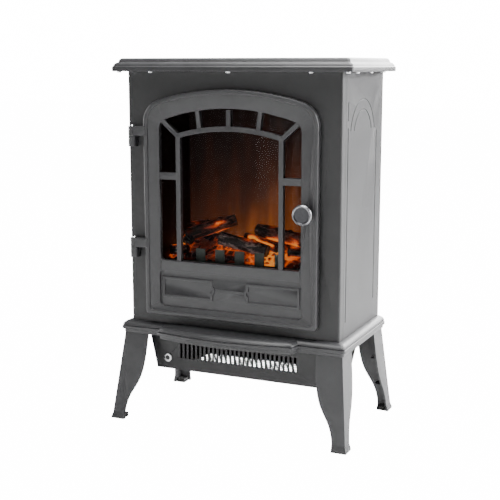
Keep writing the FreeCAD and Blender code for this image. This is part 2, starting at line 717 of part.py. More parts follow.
def base_plate():
    outer = base_form([(inset, height, 0.0) for inset, height in BASE_PROFILE])
    hollow = BASE_HOLLOW + ((BASE_PROFILE[-1][0], BASE_HEIGHT - WALL),)
    shell = outer.cut(base_form([(inset, height, WALL) for inset, height in hollow]))
    bosses = [rod(BOSS_R, BASE_HEIGHT - WALL, x, y, BASE_Z, Z_AXIS) for x, y in leg_screw_places()]
    pilots = [rod(LEG_SCREW_R, BASE_HEIGHT - WALL - PILOT_END, x, y, BASE_Z, Z_AXIS)
              for x, y in leg_screw_places()]
    return cut(fuse([shell] + bosses), pilots + [base_opening()])


# ================================================================ legs
def leg_outline(corner, splay, facing):
    """One leg wall seen square on: a straight splayed outer edge and an S-curved inner edge."""
    foot = FOOT_CLEARANCE

    def outer(z):
        return corner + splay * (LEG_HEIGHT - z) / LEG_HEIGHT

    inner = []
    for share, width in LEG_WIDTHS:
        z = foot + share * (LEG_HEIGHT - foot)
        inner.append((facing * (outer(z) - width), z))
    return facing * outer(LEG_HEIGHT), facing * outer(foot), inner


def leg_wall(plane_point, corner, splay, facing, depth):
    """A leg wall's outline as a thick prism that the wall slab is cut from."""
    top, bottom, inner = leg_outline(corner, splay, facing)
    points = [plane_point(u, z) for u, z in inner]
    curve = Part.BSplineCurve()
    curve.interpolate(points)
    top_point = plane_point(top, LEG_HEIGHT)
    bottom_point = plane_point(bottom, FOOT_CLEARANCE)
    edges = [Part.LineSegment(top_point, points[0]).toShape(), curve.toShape(),
             Part.LineSegment(points[-1], bottom_point).toShape(),
             Part.LineSegment(bottom_point, top_point).toShape()]
    return face_of(edges).extrude(depth)


def leg_splay(end):
    """How far a leg leans forward or back from its top to the floor."""
    return LEG_SPLAY_FRONT if end < 0 else LEG_SPLAY_REAR


def leg(side, end, corner_x, corner_y):
    """An L-section leg: two slanted walls, a flared foot, two ribs and a screw flange."""
    reach_y = end * corner_y
    splay_y = leg_splay(end)
    foot = FOOT_CLEARANCE
    tall = LEG_HEIGHT - foot

    def slab(corner, splay, facing, build):
        top = facing * corner
        bottom = facing * (corner + splay * tall / LEG_HEIGHT)
        inward = -facing * LEG_WALL
        return build([(top, LEG_HEIGHT), (bottom, foot), (bottom + inward, foot),
                      (top + inward, LEG_HEIGHT)])

    front = leg_wall(lambda u, z: FreeCAD.Vector(u, -FAR, z), corner_x, LEG_SPLAY_X, side,
                     FreeCAD.Vector(0, 2 * FAR, 0))
    front = front.common(slab(reach_y, splay_y, end, lambda pts: prism_yz(pts, -FAR, FAR)))
    flank = leg_wall(lambda u, z: FreeCAD.Vector(-FAR, u, z), reach_y, splay_y, end,
                     FreeCAD.Vector(2 * FAR, 0, 0))
    flank = flank.common(slab(corner_x, LEG_SPLAY_X, side, lambda pts: prism_xz(pts, -FAR, FAR)))

    def outer(z, proud=0.0):
        drop = (LEG_HEIGHT - z) / LEG_HEIGHT
        return corner_x + LEG_SPLAY_X * drop + proud, reach_y + splay_y * drop + proud

    foot_width = LEG_WIDTHS[-1][1]
    wires = []
    for z, proud in ((LEG_FLARE_HEIGHT, 0.0), (LEG_FLARE_FOOT, LEG_FLARE), (foot, LEG_FLARE)):
        x, y = outer(z, proud)
        inner_x, inner_y = outer(foot)
        xs = sorted((side * x, side * (inner_x - foot_width)))
        ys = sorted((end * y, end * (inner_y - foot_width)))
        wires.append(rounded_wire(xs[0], xs[1], ys[0], ys[1], z, LEG_FOOT_R))
    inner_x, inner_y = outer(LEG_FLARE_HEIGHT)
    xs = sorted((side * (inner_x - LEG_WALL), side * (inner_x - FAR)))
    ys = sorted((end * (inner_y - LEG_WALL), end * (inner_y - FAR)))
    flare = stacked(wires).cut(block(xs[0], xs[1], ys[0], ys[1], -1.0, LEG_FLARE_HEIGHT + 1.0))

    pieces = [front, flank, flare]
    for z in LEG_RIB_LEVELS:
        x, y = outer(z)
        xs = sorted((side * (x - LEG_WALL / 2), side * (x - LEG_WALL - LEG_RIB)))
        ys = sorted((end * (y - LEG_WALL / 2), end * (y - LEG_WALL - LEG_RIB)))
        pieces.append(block(xs[0], xs[1], ys[0], ys[1], z, z + LEG_RIB_SHEET))
    across, along, thick = LEG_FLANGE
    xs = sorted((side * (corner_x - LEG_FLANGE_LAP), side * (corner_x - across)))
    ys = sorted((end * (reach_y - LEG_FLANGE_LAP), end * (reach_y - along)))
    pieces.append(block(xs[0], xs[1], ys[0], ys[1], LEG_HEIGHT - thick, LEG_HEIGHT))
    holes = []
    for across, along in LEG_SCREW_PLACES:
        holes.append(rod(LEG_SCREW_R + HOLE_CLEARANCE, 3 * thick, side * (corner_x - across),
                         corner_y - end * along, LEG_HEIGHT - 2 * thick, Z_AXIS))
    return cut(fuse(pieces), holes)


def leg_screws():
    z = LEG_HEIGHT - LEG_FLANGE[2]
    return Part.makeCompound([screw(x, y, z, Z_AXIS, LEG_SCREW_LENGTH, LEG_SCREW_R)
                              for x, y in leg_screw_places()])


def foot_pads():
    pads = []
    drop = (LEG_HEIGHT - LEG_FLARE_HEIGHT) / LEG_HEIGHT
    for side, end, x, y in leg_corners().values():
        x_out = x + LEG_SPLAY_X * drop - LEG_WALL
        y_out = end * y + leg_splay(end) * drop - LEG_WALL
        xs = sorted((side * x_out, side * (x_out - FOOT_PAD)))
        ys = sorted((end * y_out, end * (y_out - FOOT_PAD)))
        pads.append(block(xs[0], xs[1], ys[0], ys[1], 0.0, FOOT_PAD_HEIGHT))
    return Part.makeCompound(pads)


# ================================================================ door
def arch_bar_z(x, apex):
    return apex - ARCH_BAR_R + math.sqrt(ARCH_BAR_R ** 2 - x ** 2)


def bar_between(x0, z0, x1, z1, width, y0, y1):
    """A straight glazing bar between two points of the door's face."""
    run = math.hypot(x1 - x0, z1 - z0)
    px = (z1 - z0) / run * width / 2
    pz = -(x1 - x0) / run * width / 2
    return prism_xz([(x0 + px, z0 + pz), (x1 + px, z1 + pz), (x1 - px, z1 - pz), (x0 - px, z0 - pz)], y0,
                    y1)


def glazing_bars():
    """Mullions, cross bars, the inner arch bar, its spokes and its two corner diagonals."""
    back = DOOR_BACK
    face = back - BAR_DEPTH
    upper = WINDOW_APEX - ARCH_BAR_DROP
    lower = upper - BAR
    end = MULLION_X + BAR / 2
    corner_left = [FreeCAD.Vector(x, face, arch_bar_z(end, upper)) for x in (-end, end)]
    corner_low = [FreeCAD.Vector(x, face, arch_bar_z(end, lower)) for x in (end, -end)]
    arch = face_of([
        Part.Arc(corner_left[0], FreeCAD.Vector(0, face, upper), corner_left[1]).toShape(),
        Part.LineSegment(corner_left[1], corner_low[0]).toShape(),
        Part.Arc(corner_low[0], FreeCAD.Vector(0, face, lower), corner_low[1]).toShape(),
        Part.LineSegment(corner_low[1], corner_left[0]).toShape(),
    ]).extrude(Y_AXIS * BAR_DEPTH)
    bars = [arch]
    cross_top = WINDOW_APEX - CROSS_BAR_DROP
    for side in (-1, 1):
        low, high = sorted((side * (MULLION_X - BAR / 2), side * end))
        bars.append(block(low, high, face, back, WINDOW_Z - BAR_LAP,
                          arch_bar_z(MULLION_X, lower) + BAR / 2))
        low, high = sorted((side * MULLION_X, side * (WINDOW_HALF + BAR_LAP)))
        bars.append(block(low, high, face, back, cross_top - CROSS_BAR_HEIGHT, cross_top))
        bars.append(bar_between(side * (MULLION_X - BAR_LAP), arch_bar_z(MULLION_X, lower) + BAR_LAP / 2,
                                side * (WINDOW_HALF - CORNER_BAR_INSET), WINDOW_APEX - CORNER_BAR_DROP,
                                SPOKE_WIDTH, face, back))
    for step in (-1, 0, 1):
        x = step * SPOKE_PITCH
        bars.append(bar_between(x * SPOKE_LEAN[0], arch_bar_z(x, lower) + BAR_LAP, x * SPOKE_LEAN[1],
                                WINDOW_APEX - BAR_LAP, SPOKE_WIDTH, face, back))
    return bars


def bracket_frame(side):
    """A raised bead round a rectangle, its inner end swelling to a round bracket."""
    face = DOOR_FACE + RECESS_DEPTH
    x0 = FRAME_INNER
    x1 = WINDOW_HALF - FRAME_MARGIN + FRAME_OUTER_REACH
    z0 = DOOR_Z + RECESS_BOTTOM + FRAME_BOTTOM
    z1 = z0 + FRAME_HEIGHT
    middle = (z0 + z1) / 2
    nose_x = x0 + FRAME_BRACKET_INSET

    def outline(shrink):
        low, high = sorted((side * (x0 + shrink), side * (x1 - shrink)))
        body = block(low, high, face - FRAME_BEAD_PROUD, face + 1.0, z0 + shrink, z1 - shrink)
        nose = rod(FRAME_BRACKET_R - shrink, FRAME_BEAD_PROUD + 1.0, side * nose_x, face - FRAME_BEAD_PROUD,
                   middle, Y_AXIS)
        return body.fuse(nose)

    return outline(0.0).cut(outline(FRAME_BEAD))


def door_recess():
    z0 = DOOR_Z + RECESS_BOTTOM
    half = WINDOW_HALF + RECESS_SIDE
    wire = rounded_wire(-half, half, z0, z0 + RECESS_HEIGHT, 0.0, RECESS_R)
    face = Part.Face(wire)
    face.rotate(FreeCAD.Vector(0, 0, 0), X_AXIS, 90)
    face.translate(FreeCAD.Vector(0, DOOR_FACE + RECESS_DEPTH, 0))
    return face.extrude(Y_AXIS * -(RECESS_DEPTH + 1.0))


def hinge_arm(z):
    """The door's strap: a flat arm ending in a barrel that turns on the pin."""
    arm_front = HINGE_Y - HINGE_ARM_DEPTH / 2 - HINGE_ARM_FORWARD
    arm = block(HINGE_X, -DOOR_HALF + HINGE_ARM_LAP, arm_front, arm_front + HINGE_ARM_DEPTH, z,
                z + HINGE_ARM_HEIGHT)
    return arm.fuse(rod(HINGE_R, HINGE_ARM_HEIGHT, HINGE_X, HINGE_Y, z, Z_AXIS))


def strike_block(grow):
    width, height = CATCH[:2]
    return block(CATCH_X - width / 2 - grow, CATCH_X + width / 2 + grow, DOOR_BACK - STRIKE, DOOR_BACK,
                 CATCH_Z - height / 2 - grow, CATCH_Z + height / 2 + grow)


def door_frame():
    face = DOOR_FACE
    plate = arch_prism(DOOR_HALF, DOOR_Z, DOOR_APEX, DOOR_ARCH_R, DOOR_SHOULDER_R, DOOR_FOOT_R, face,
                       DOOR_BACK)
    inset = DOOR_BEAD_WIDTH
    front = face - DOOR_BEAD
    bead = arch_prism(DOOR_HALF, DOOR_Z, DOOR_APEX, DOOR_ARCH_R, DOOR_SHOULDER_R, DOOR_FOOT_R, front, face)
    inner = arch_prism(DOOR_HALF - inset, DOOR_Z + inset, DOOR_APEX - inset, DOOR_ARCH_R - inset,
                       DOOR_SHOULDER_R - inset, DOOR_FOOT_R, front, face)
    bead = bead.cut(inner)
    edges = [edge for edge in bead.Edges if edge.BoundBox.YMax < front + 0.01]
    bead = bead.makeFillet(DOOR_BEAD_ROUND, edges)
    tools = [window_prism(0.0, front - 1.0, DOOR_BACK + 1.0), door_recess()]
    solid = cut(fuse([plate, bead]), tools)
    solid = fuse([solid] + glazing_bars() + [bracket_frame(-1), bracket_frame(1)])
    solid = fuse([solid] + [hinge_arm(z) for z in HINGE_LEVELS])
    holes = [rod(HINGE_PIN_R + RUNNING_FIT, HINGE_ARM_HEIGHT + 2.0, HINGE_X, HINGE_Y, z - 1.0, Z_AXIS)
             for z in HINGE_LEVELS]
    holes.append(rod(KNOB_SCREW_R + HOLE_CLEARANCE, DOOR_PLATE + 2.0, KNOB_X, face - 1.0, KNOB_Z, Y_AXIS))
    holes.append(rod(SCREW_HEAD_R + HOLE_CLEARANCE, SCREW_HEAD + KNOB_SCREW_SINK + 0.5, KNOB_X,
                     DOOR_BACK - SCREW_HEAD - KNOB_SCREW_SINK, KNOB_Z, Y_AXIS))
    holes.append(strike_block(0.0))
    return cut(solid, holes)


def door_knob():
    """A shallow dished disc with a rolled rim on a short neck."""
    face = DOOR_FACE - KNOB_NECK - KNOB_THICKNESS
    edge = KNOB_THICKNESS / 2
    points = [(0.0, KNOB_DISH), (KNOB_R - 4.5, KNOB_DISH), (KNOB_R - 3.0, 0.4), (KNOB_R - 1.6, 0.0)]
    rim = [(KNOB_R, 1.8), (KNOB_R, edge), (KNOB_R - 3.0, KNOB_THICKNESS - 0.6),
           (KNOB_NECK_R, KNOB_THICKNESS)]
    neck = [(KNOB_NECK_R - 1.0, KNOB_THICKNESS + 4.0), (KNOB_NECK_R, KNOB_THICKNESS + KNOB_NECK),
            (0.0, KNOB_THICKNESS + KNOB_NECK)]
    outline = [FreeCAD.Vector(KNOB_X + r, face + depth, KNOB_Z) for r, depth in points + rim + neck]
    solid = polygon(outline).revolve(FreeCAD.Vector(KNOB_X, 0, KNOB_Z), Y_AXIS, 360)
    return solid.cut(rod(KNOB_SCREW_R, KNOB_NECK, KNOB_X, DOOR_FACE - KNOB_NECK, KNOB_Z, Y_AXIS))


def knob_screw():
    seat = DOOR_BACK - SCREW_HEAD - KNOB_SCREW_SINK
    length = DOOR_PLATE + KNOB_NECK - KNOB_SCREW_END
    return screw(KNOB_X, seat, KNOB_Z, -Y_AXIS, length, KNOB_SCREW_R)


def door_strike():
    return strike_block(0.0)


def catch_block(grow):
    width, height, depth = CATCH
    return block(CATCH_X - width / 2 - grow, CATCH_X + width / 2 + grow, FRONT, FRONT + depth,
                 CATCH_Z - height / 2 - grow, CATCH_Z + height / 2 + grow)


def magnet_catch():
    """The magnet and its flange, fixed behind the front panel and flush with its face."""
    width, height = CATCH[:2]
    thick, reach = CATCH_FLANGE
    flange = block(CATCH_X - width / 2, CATCH_X + width / 2, FRONT + SHEET, FRONT + SHEET + thick,
                   CATCH_Z - height / 2 - reach, CATCH_Z + height / 2 + reach)
    return catch_block(0.0).fuse(flange)


def hinge_brackets():
    """The fixed half of each hinge: a barrel under the door's arm, footed on the front panel."""
    knuckles = []
    for z in HINGE_LEVELS:
        top = z - HINGE_WASHER_GAP
        bottom = top - HINGE_LEG_HEIGHT
        barrel = rod(HINGE_R, HINGE_LEG_HEIGHT, HINGE_X, HINGE_Y, bottom, Z_AXIS)
        foot = block(HINGE_X - HINGE_R, HINGE_X + HINGE_R, HINGE_Y, FRONT, bottom, top)
        bore = rod(HINGE_PIN_R, HINGE_LEG_HEIGHT, HINGE_X, HINGE_Y, bottom, Z_AXIS)
        knuckles.append(barrel.fuse(foot).removeSplitter().cut(bore))
    return Part.makeCompound(knuckles)


def hinge_pins():
    pins = []
    for z in HINGE_LEVELS:
        bottom = z - HINGE_WASHER_GAP - HINGE_LEG_HEIGHT
        length = HINGE_LEG_HEIGHT + HINGE_WASHER_GAP + HINGE_ARM_HEIGHT + HINGE_WASHER_GAP
        shank = rod(HINGE_PIN_R, length, HINGE_X, HINGE_Y, bottom, Z_AXIS)
        grow, height = HINGE_PIN_HEAD
        top = FreeCAD.Vector(HINGE_X, HINGE_Y, bottom + length)
        head = Part.makeCone(HINGE_PIN_R + grow, HINGE_PIN_R, height, top)
        pins.append(shank.fuse(head))
    return Part.makeCompound(pins)


# ================================================================ glazing and firebox
def glass_gasket():
    outer = window_prism(OPENING_MARGIN + GASKET, FRONT + SHEET, GLASS_Y)
    return outer.cut(window_prism(OPENING_MARGIN, FRONT + SHEET, GLASS_Y))


def window_glass():
    return window_prism(OPENING_MARGIN + GASKET, GLASS_Y, GLASS_Y + GLASS)


def firebox_liner():
    """A sheet box open to the glass and the screen, with a front flange and a shelf behind the screen."""
    flange_back = LINER_Y + SHEET
    outer = block(-LINER_HALF, LINER_HALF, LINER_Y, SCREEN_Y + SCREEN + SHEET, FLOOR_Z - SHEET, ROOF_Z)
    inner = block(-LINER_HALF + SHEET, LINER_HALF - SHEET, LINER_Y - 1.0, SCREEN_Y + FAR, FLOOR_Z,
                  ROOF_Z - SHEET)
    shelf = block(-LINER_HALF, LINER_HALF, SCREEN_Y, SHELF_Y, FLOOR_Z - SHEET, FLOOR_Z)
    flange = block(-LINER_HALF - 2.0, LINER_HALF + 2.0, LINER_Y, flange_back, FLOOR_Z - SHEET, ROOF_Z)
    flange = flange.cut(window_prism(OPENING_MARGIN, LINER_Y - 1.0, flange_back + 1.0))
    return fuse([outer.cut(inner), shelf, flange])


def fire_grate():
    rail = block(-LINER_HALF + SHEET, LINER_HALF - SHEET, GRATE_Y, GRATE_Y + GRATE_SHEET,
                 FLOOR_Z, FLOOR_Z + GRATE_RAIL_HEIGHT)
    pieces = [rail]
    for index in range(GRATE_TEETH):
        x = (index - (GRATE_TEETH - 1) / 2) * GRATE_PITCH
        pieces.append(block(x - GRATE_TOOTH / 2, x + GRATE_TOOTH / 2, GRATE_Y, GRATE_Y + GRATE_SHEET,
                            FLOOR_Z + GRATE_RAIL_HEIGHT - 1.0,
                            FLOOR_Z + GRATE_RAIL_HEIGHT + GRATE_TOOTH_HEIGHT))
    return fuse(pieces)


def log_end(share_x, share_y, height):
    half = LINER_HALF - SHEET
    bed_front = GRATE_Y + GRATE_SHEET
    return FreeCAD.Vector(share_x * half, bed_front + share_y * (SCREEN_Y - bed_front), FLOOR_Z + height)


def log_shape(name, grow=0.0):
    """A tapered log with a lopsided knot near its thick end."""
    (sx, sy, sz, sr), (ex, ey, ez, er) = LOGS[name]
    start = log_end(sx, sy, sz)
    run = log_end(ex, ey, ez) - start
    length = run.Length
    unit = run.normalize()
    trunk = Part.makeCone(sr + grow, er + grow, length, start, unit)
    knot_r = max(sr, er) * 0.55 + grow
    knot = Part.makeSphere(knot_r, start + unit * length * 0.68 + FreeCAD.Vector(0, 0, max(sr, er) * 0.62))
    return trunk.fuse(knot)


def log_solids():
    """Every log, each trimmed clear of those placed before it."""
    solids = {}
    taken = []
    for name in LOGS:
        solid = log_shape(name)
        near = [tool for tool in taken if tool.BoundBox.intersect(solid.BoundBox)]
        if near:
            solid = cut(solid, near)
        solids[name] = largest(solid)
        taken.append(log_shape(name, LOG_CLEARANCE))
    return solids, taken


def largest(shape):
    return max(shape.Solids, key=lambda solid: solid.Volume)


def ember_bed(log_tools):
    """The moulded ember bed: a mound rising to the back, with seats for the logs."""
    half = LINER_HALF - SHEET - JOINT_GAP
    front = GRATE_Y + GRATE_SHEET
    rear = SCREEN_Y - JOINT_GAP
    depth = rear - front
    profile = [(front, FLOOR_Z), (front, FLOOR_Z + BED_FRONT),
               (front + depth * 0.18, FLOOR_Z + BED_FRONT + 9.0),
               (front + depth * 0.5, FLOOR_Z + BED_REAR * 0.72), (front + depth * 0.8, FLOOR_Z + BED_REAR),
               (rear, FLOOR_Z + BED_REAR * 0.9), (rear, FLOOR_Z)]
    return largest(cut(prism_yz(profile, -half, half), log_tools))


def flame_screen():
    half = LINER_HALF - SHEET
    return block(-half, half, SCREEN_Y, SCREEN_Y + SCREEN, FLOOR_Z, ROOF_Z - SHEET)


# ================================================================ flame effect behind the screen
def flame_rotor():
    """A thin rod with rows of bright fins that flick light on the screen."""
    reach = FLAME_ROTOR_HALF + BRACKET_SHEET + BUSH_LENGTH
    pieces = [rod(FLAME_ROD_R, 2 * reach, -reach, FLAME_Y, FLAME_Z, X_AXIS)]
    length, thick, width = FLAME_FIN
    for row in range(FLAME_FIN_ROWS):
        x = (row - (FLAME_FIN_ROWS - 1) / 2) * FLAME_FIN_PITCH
        fin = block(x - length / 2, x + length / 2, FLAME_Y - thick / 2, FLAME_Y + thick / 2,
                    FLAME_Z - width, FLAME_Z + width)
        crossed = fin.copy()
        crossed.rotate(FreeCAD.Vector(x, FLAME_Y, FLAME_Z), X_AXIS, 90)
        pair = fin.fuse(crossed)
        pair.rotate(FreeCAD.Vector(x, FLAME_Y, FLAME_Z), X_AXIS, FLAME_FIN_TWIST * row)
        pieces.append(pair)
    return fuse(pieces)


def rotor_brackets():
    """Two upright plates on the firebox shelf, each with a bush for the flame rotor."""
    plates = []
    y0 = SCREEN_Y + SCREEN + SHEET + ROTOR_BRACKET_SETBACK
    y1 = SHELF_Y - ROTOR_BRACKET_SETBACK
    bush_length = BRACKET_SHEET + BUSH_PROUD
    for side in (-1, 1):
        inner = side * (FLAME_ROTOR_HALF + ROTOR_BRACKET_GAP)
        low, high = sorted((inner, inner + side * BRACKET_SHEET))
        plate = block(low, high, y0, y1, FLOOR_Z, FLAME_Z + ROTOR_BRACKET_TOP)
        low, high = sorted((inner, inner + side * ROTOR_BRACKET_FOOT))
        foot = block(low, high, y0, y1, FLOOR_Z, FLOOR_Z + BRACKET_SHEET)
        bush_low = min(inner, inner + side * bush_length)
        bush = rod(BUSH_R, bush_length, bush_low, FLAME_Y, FLAME_Z, X_AXIS)
        bore = rod(FLAME_ROD_R + RUNNING_FIT, 4 * BUSH_LENGTH, bush_low - BUSH_LENGTH, FLAME_Y, FLAME_Z,
                   X_AXIS)
        plates.append(fuse([plate, foot, bush]).cut(bore))
    return Part.makeCompound(plates)


def flame_motor():
    """A flat synchronous motor on the outer face of the right bracket."""
    start = FLAME_ROTOR_HALF + ROTOR_BRACKET_GAP + BRACKET_SHEET + BUSH_PROUD + JOINT_GAP
    thick, reach = FLAME_MOTOR_EAR
    can = rod(FLAME_MOTOR_R, FLAME_MOTOR_LENGTH, start, FLAME_Y, FLAME_Z, X_AXIS)
    ears = block(start, start + thick, FLAME_Y - FLAME_MOTOR_R - reach, FLAME_Y + FLAME_MOTOR_R + reach,
                 FLAME_Z - reach, FLAME_Z + reach)
    bore = rod(FLAME_ROD_R + RUNNING_FIT, MOTOR_BORE, start, FLAME_Y, FLAME_Z, X_AXIS)
    return can.fuse(ears).removeSplitter().cut(bore)


def led_board():
    length = 2 * (FLAME_ROTOR_HALF - LED_BOARD_INSET)
    depth, thick = LED_BOARD
    y = FLAME_Y - depth / 2
    pieces = [block(-length / 2, length / 2, y, y + depth, FLOOR_Z, FLOOR_Z + thick)]
    for index in range(LED_COUNT):
        x = (index - (LED_COUNT - 1) / 2) * length / LED_COUNT
        pieces.append(rod(LED_R, LED_HEIGHT, x, FLAME_Y, FLOOR_Z + thick, Z_AXIS))
    return fuse(pieces)


# ================================================================ controls
def control_tray():
    """A recessed tray behind the front panel that carries the switches and the thermostat."""
    inner_half = TRAY_HALF - JOINT_GAP
    z0, z1 = TRAY_Z + JOINT_GAP, TRAY_Z + TRAY_HEIGHT - JOINT_GAP
    outer = block(-inner_half, inner_half, FRONT + SHEET, TRAY_BACK, z0, z1)
    hollow = block(-inner_half + SHEET, inner_half - SHEET, FRONT, TRAY_BACK - SHEET, z0 + SHEET,
                   z1 - SHEET)
    flange = block(-inner_half - TRAY_FLANGE, inner_half + TRAY_FLANGE, FRONT + SHEET, FRONT + 2 * SHEET,
                   z0 - TRAY_FLANGE, z1 + TRAY_FLANGE)
    tools = [hollow, rod(THERMOSTAT_NECK_R, 4 * SHEET, DIAL_X, TRAY_BACK - 2 * SHEET, TRAY_MID_Z, Y_AXIS)]
    width, height, depth = SWITCH_BODY
    for name, x in SWITCH_PLACES:
        tools.append(block(x - width / 2, x + width / 2, TRAY_BACK - 2 * SHEET, TRAY_BACK + SHEET,
                           TRAY_MID_Z - height / 2, TRAY_MID_Z + height / 2))
    return cut(fuse([outer, flange]), tools)


def switch_rocker(x):
    """A rocker whose two faces meet at its middle, resting with its lower half pressed in."""
    drum = rod(ROCKER_R, ROCKER_WIDTH, x - ROCKER_WIDTH / 2, ROCKER_Y, TRAY_MID_Z, X_AXIS)
    slope = math.tan(math.radians(ROCKER_TILT))
    nose = ROCKER_Y - ROCKER_NOSE
    tip = nose - ROCKER_R * slope
    shape = prism_yz([(ROCKER_Y + ROCKER_R, TRAY_MID_Z - ROCKER_R), (tip, TRAY_MID_Z - ROCKER_R),
                      (nose, TRAY_MID_Z),
                      (tip, TRAY_MID_Z + ROCKER_R), (ROCKER_Y + ROCKER_R, TRAY_MID_Z + ROCKER_R)],
                     x - ROCKER_WIDTH / 2, x + ROCKER_WIDTH / 2)
    rocker = drum.common(shape)
    rocker.rotate(FreeCAD.Vector(x, ROCKER_Y, TRAY_MID_Z), X_AXIS, ROCKER_TILT)
    return rocker


def tab(x, y):
    """A flat terminal tab standing back from a control."""
    width, length, thick = TAB
    return block(x - width / 2, x + width / 2, y, y + length, TRAY_MID_Z - thick / 2,
                 TRAY_MID_Z + thick / 2)


def switch_bodies():
    bodies = []
    width, height, depth = SWITCH_BODY
    bezel_width, bezel_height, bezel = SWITCH_BEZEL
    for name, x in SWITCH_PLACES:
        can = block(x - width / 2, x + width / 2, TRAY_BACK - SHEET, TRAY_BACK + depth,
                    TRAY_MID_Z - height / 2, TRAY_MID_Z + height / 2)
        rim = block(x - bezel_width / 2, x + bezel_width / 2, TRAY_BACK - SHEET - bezel, TRAY_BACK - SHEET,
                    TRAY_MID_Z - bezel_height / 2, TRAY_MID_Z + bezel_height / 2)
        half = ROCKER_WIDTH / 2 + ROCKER_CLEARANCE
        well = rod(ROCKER_R + ROCKER_CLEARANCE, 2 * half, x - half, ROCKER_Y, TRAY_MID_Z, X_AXIS)
        mouth = block(x - half, x + half, TRAY_BACK - FAR, ROCKER_Y,
                      TRAY_MID_Z - ROCKER_R - ROCKER_CLEARANCE,
                      TRAY_MID_Z + ROCKER_R + ROCKER_CLEARANCE)
        tabs = [tab(x + dx, TRAY_BACK + depth) for dx in (-width / 4, width / 4)]
        bodies.append(fuse([can, rim] + tabs).cut(Part.makeCompound([well, mouth])))
    return Part.makeCompound(bodies)


def thermostat_knob():
    """The heat dial with its pointer ridge, its grip flutes and its spindle."""
    back = TRAY_BACK - SHEET - DIAL_STANDOFF
    dial = rod(DIAL_R, DIAL_THICKNESS, DIAL_X, back - DIAL_THICKNESS, TRAY_MID_Z, Y_AXIS)
    front_edges = [edge for edge in dial.Edges if edge.BoundBox.YMax < back - DIAL_THICKNESS + 0.01]
    dial = dial.makeFillet(DIAL_FLUTE_R, front_edges)
    flutes = []
    circle = DIAL_R + DIAL_FLUTE_R / 2
    start = back - 2 * DIAL_THICKNESS / 3
    for index in range(DIAL_FLUTES):
        angle = 2 * math.pi * index / DIAL_FLUTES
        flutes.append(rod(DIAL_FLUTE_R, back - start, DIAL_X + circle * math.cos(angle), start,
                          TRAY_MID_Z + circle * math.sin(angle), Y_AXIS))
    width, proud, tail = DIAL_RIDGE
    face = back - DIAL_THICKNESS
    ridge = block(DIAL_X - width / 2, DIAL_X + width / 2, face - proud, face + proud / 2,
                  TRAY_MID_Z - tail, TRAY_MID_Z + DIAL_R - proud)
    spindle = rod(DIAL_SHAFT_R, DIAL_STANDOFF + SHEET + DIAL_SPINDLE_REACH, DIAL_X, back, TRAY_MID_Z,
                  Y_AXIS)
    return fuse([cut(dial, flutes), ridge, spindle])


def thermostat_body():
    neck = rod(THERMOSTAT_NECK_R, SHEET, DIAL_X, TRAY_BACK - SHEET, TRAY_MID_Z, Y_AXIS)
    can = rod(THERMOSTAT_R, THERMOSTAT_DEPTH, DIAL_X, TRAY_BACK, TRAY_MID_Z, Y_AXIS)
    bore = rod(DIAL_SHAFT_R + RUNNING_FIT, SHEET + DIAL_SPINDLE_REACH + 1.0, DIAL_X, TRAY_BACK - SHEET,
               TRAY_MID_Z, Y_AXIS)
    tabs = [tab(DIAL_X + dx, TRAY_BACK + THERMOSTAT_DEPTH) for dx in (-THERMOSTAT_R / 2, THERMOSTAT_R / 2)]
    return fuse([neck, can] + tabs).cut(bore)


# ================================================================ fan heater
def housing_section(shrink, top):
    """The heater housing's tapered cross-section."""
    shoulder = BASE_Z - HOUSING_TAPER_DROP
    return [(-HOUSING_TOP_HALF + shrink, top), (-HOUSING_TOP_HALF + shrink, shoulder),
            (-HOUSING_BOTTOM_HALF + shrink, HOUSING_Z + shrink),
            (HOUSING_BOTTOM_HALF - shrink, HOUSING_Z + shrink),
            (HOUSING_TOP_HALF - shrink, shoulder), (HOUSING_TOP_HALF - shrink, top)]


def heater_housing():
    """The under-slung sheet box with outlet slots in front and an intake hole below."""
    outer = prism_xz(housing_section(0.0, BASE_ROOF_Z), HOUSING_Y, HOUSING_BACK)
    inner = prism_xz(housing_section(SHEET, BASE_ROOF_Z + 5.0), HOUSING_Y + SHEET, HOUSING_BACK - SHEET)
    tools = [inner]
    slot_top = BASE_Z - SLOT_BELOW_BASE
    for index in range(SLOT_COUNT):
        x = (index - (SLOT_COUNT - 1) / 2) * SLOT_PITCH
        tools.append(block(x - SLOT_WIDTH / 2, x + SLOT_WIDTH / 2, HOUSING_Y - 1.0, HOUSING_Y + 2 * SHEET,
                           slot_top - SLOT_HEIGHT, slot_top))
    half = GRILLE_HALF - GRILLE_MARGIN
    rear = HOUSING_BACK - SHEET - GRILLE_REAR_GAP - GRILLE_MARGIN
    tools.append(block(-half, half, rear - GRILLE_DEPTH + 2 * GRILLE_MARGIN, rear, HOUSING_Z - 1.0,
                       HOUSING_Z + 2 * SHEET))
    badge_z = HOUSING_Z + BADGE_SCREW_UP
    tools.append(rod(SCREW_R, 4 * SHEET, BADGE_SCREW_X, HOUSING_Y - SHEET, badge_z, Y_AXIS))
    return outer.cut(Part.makeCompound(tools))


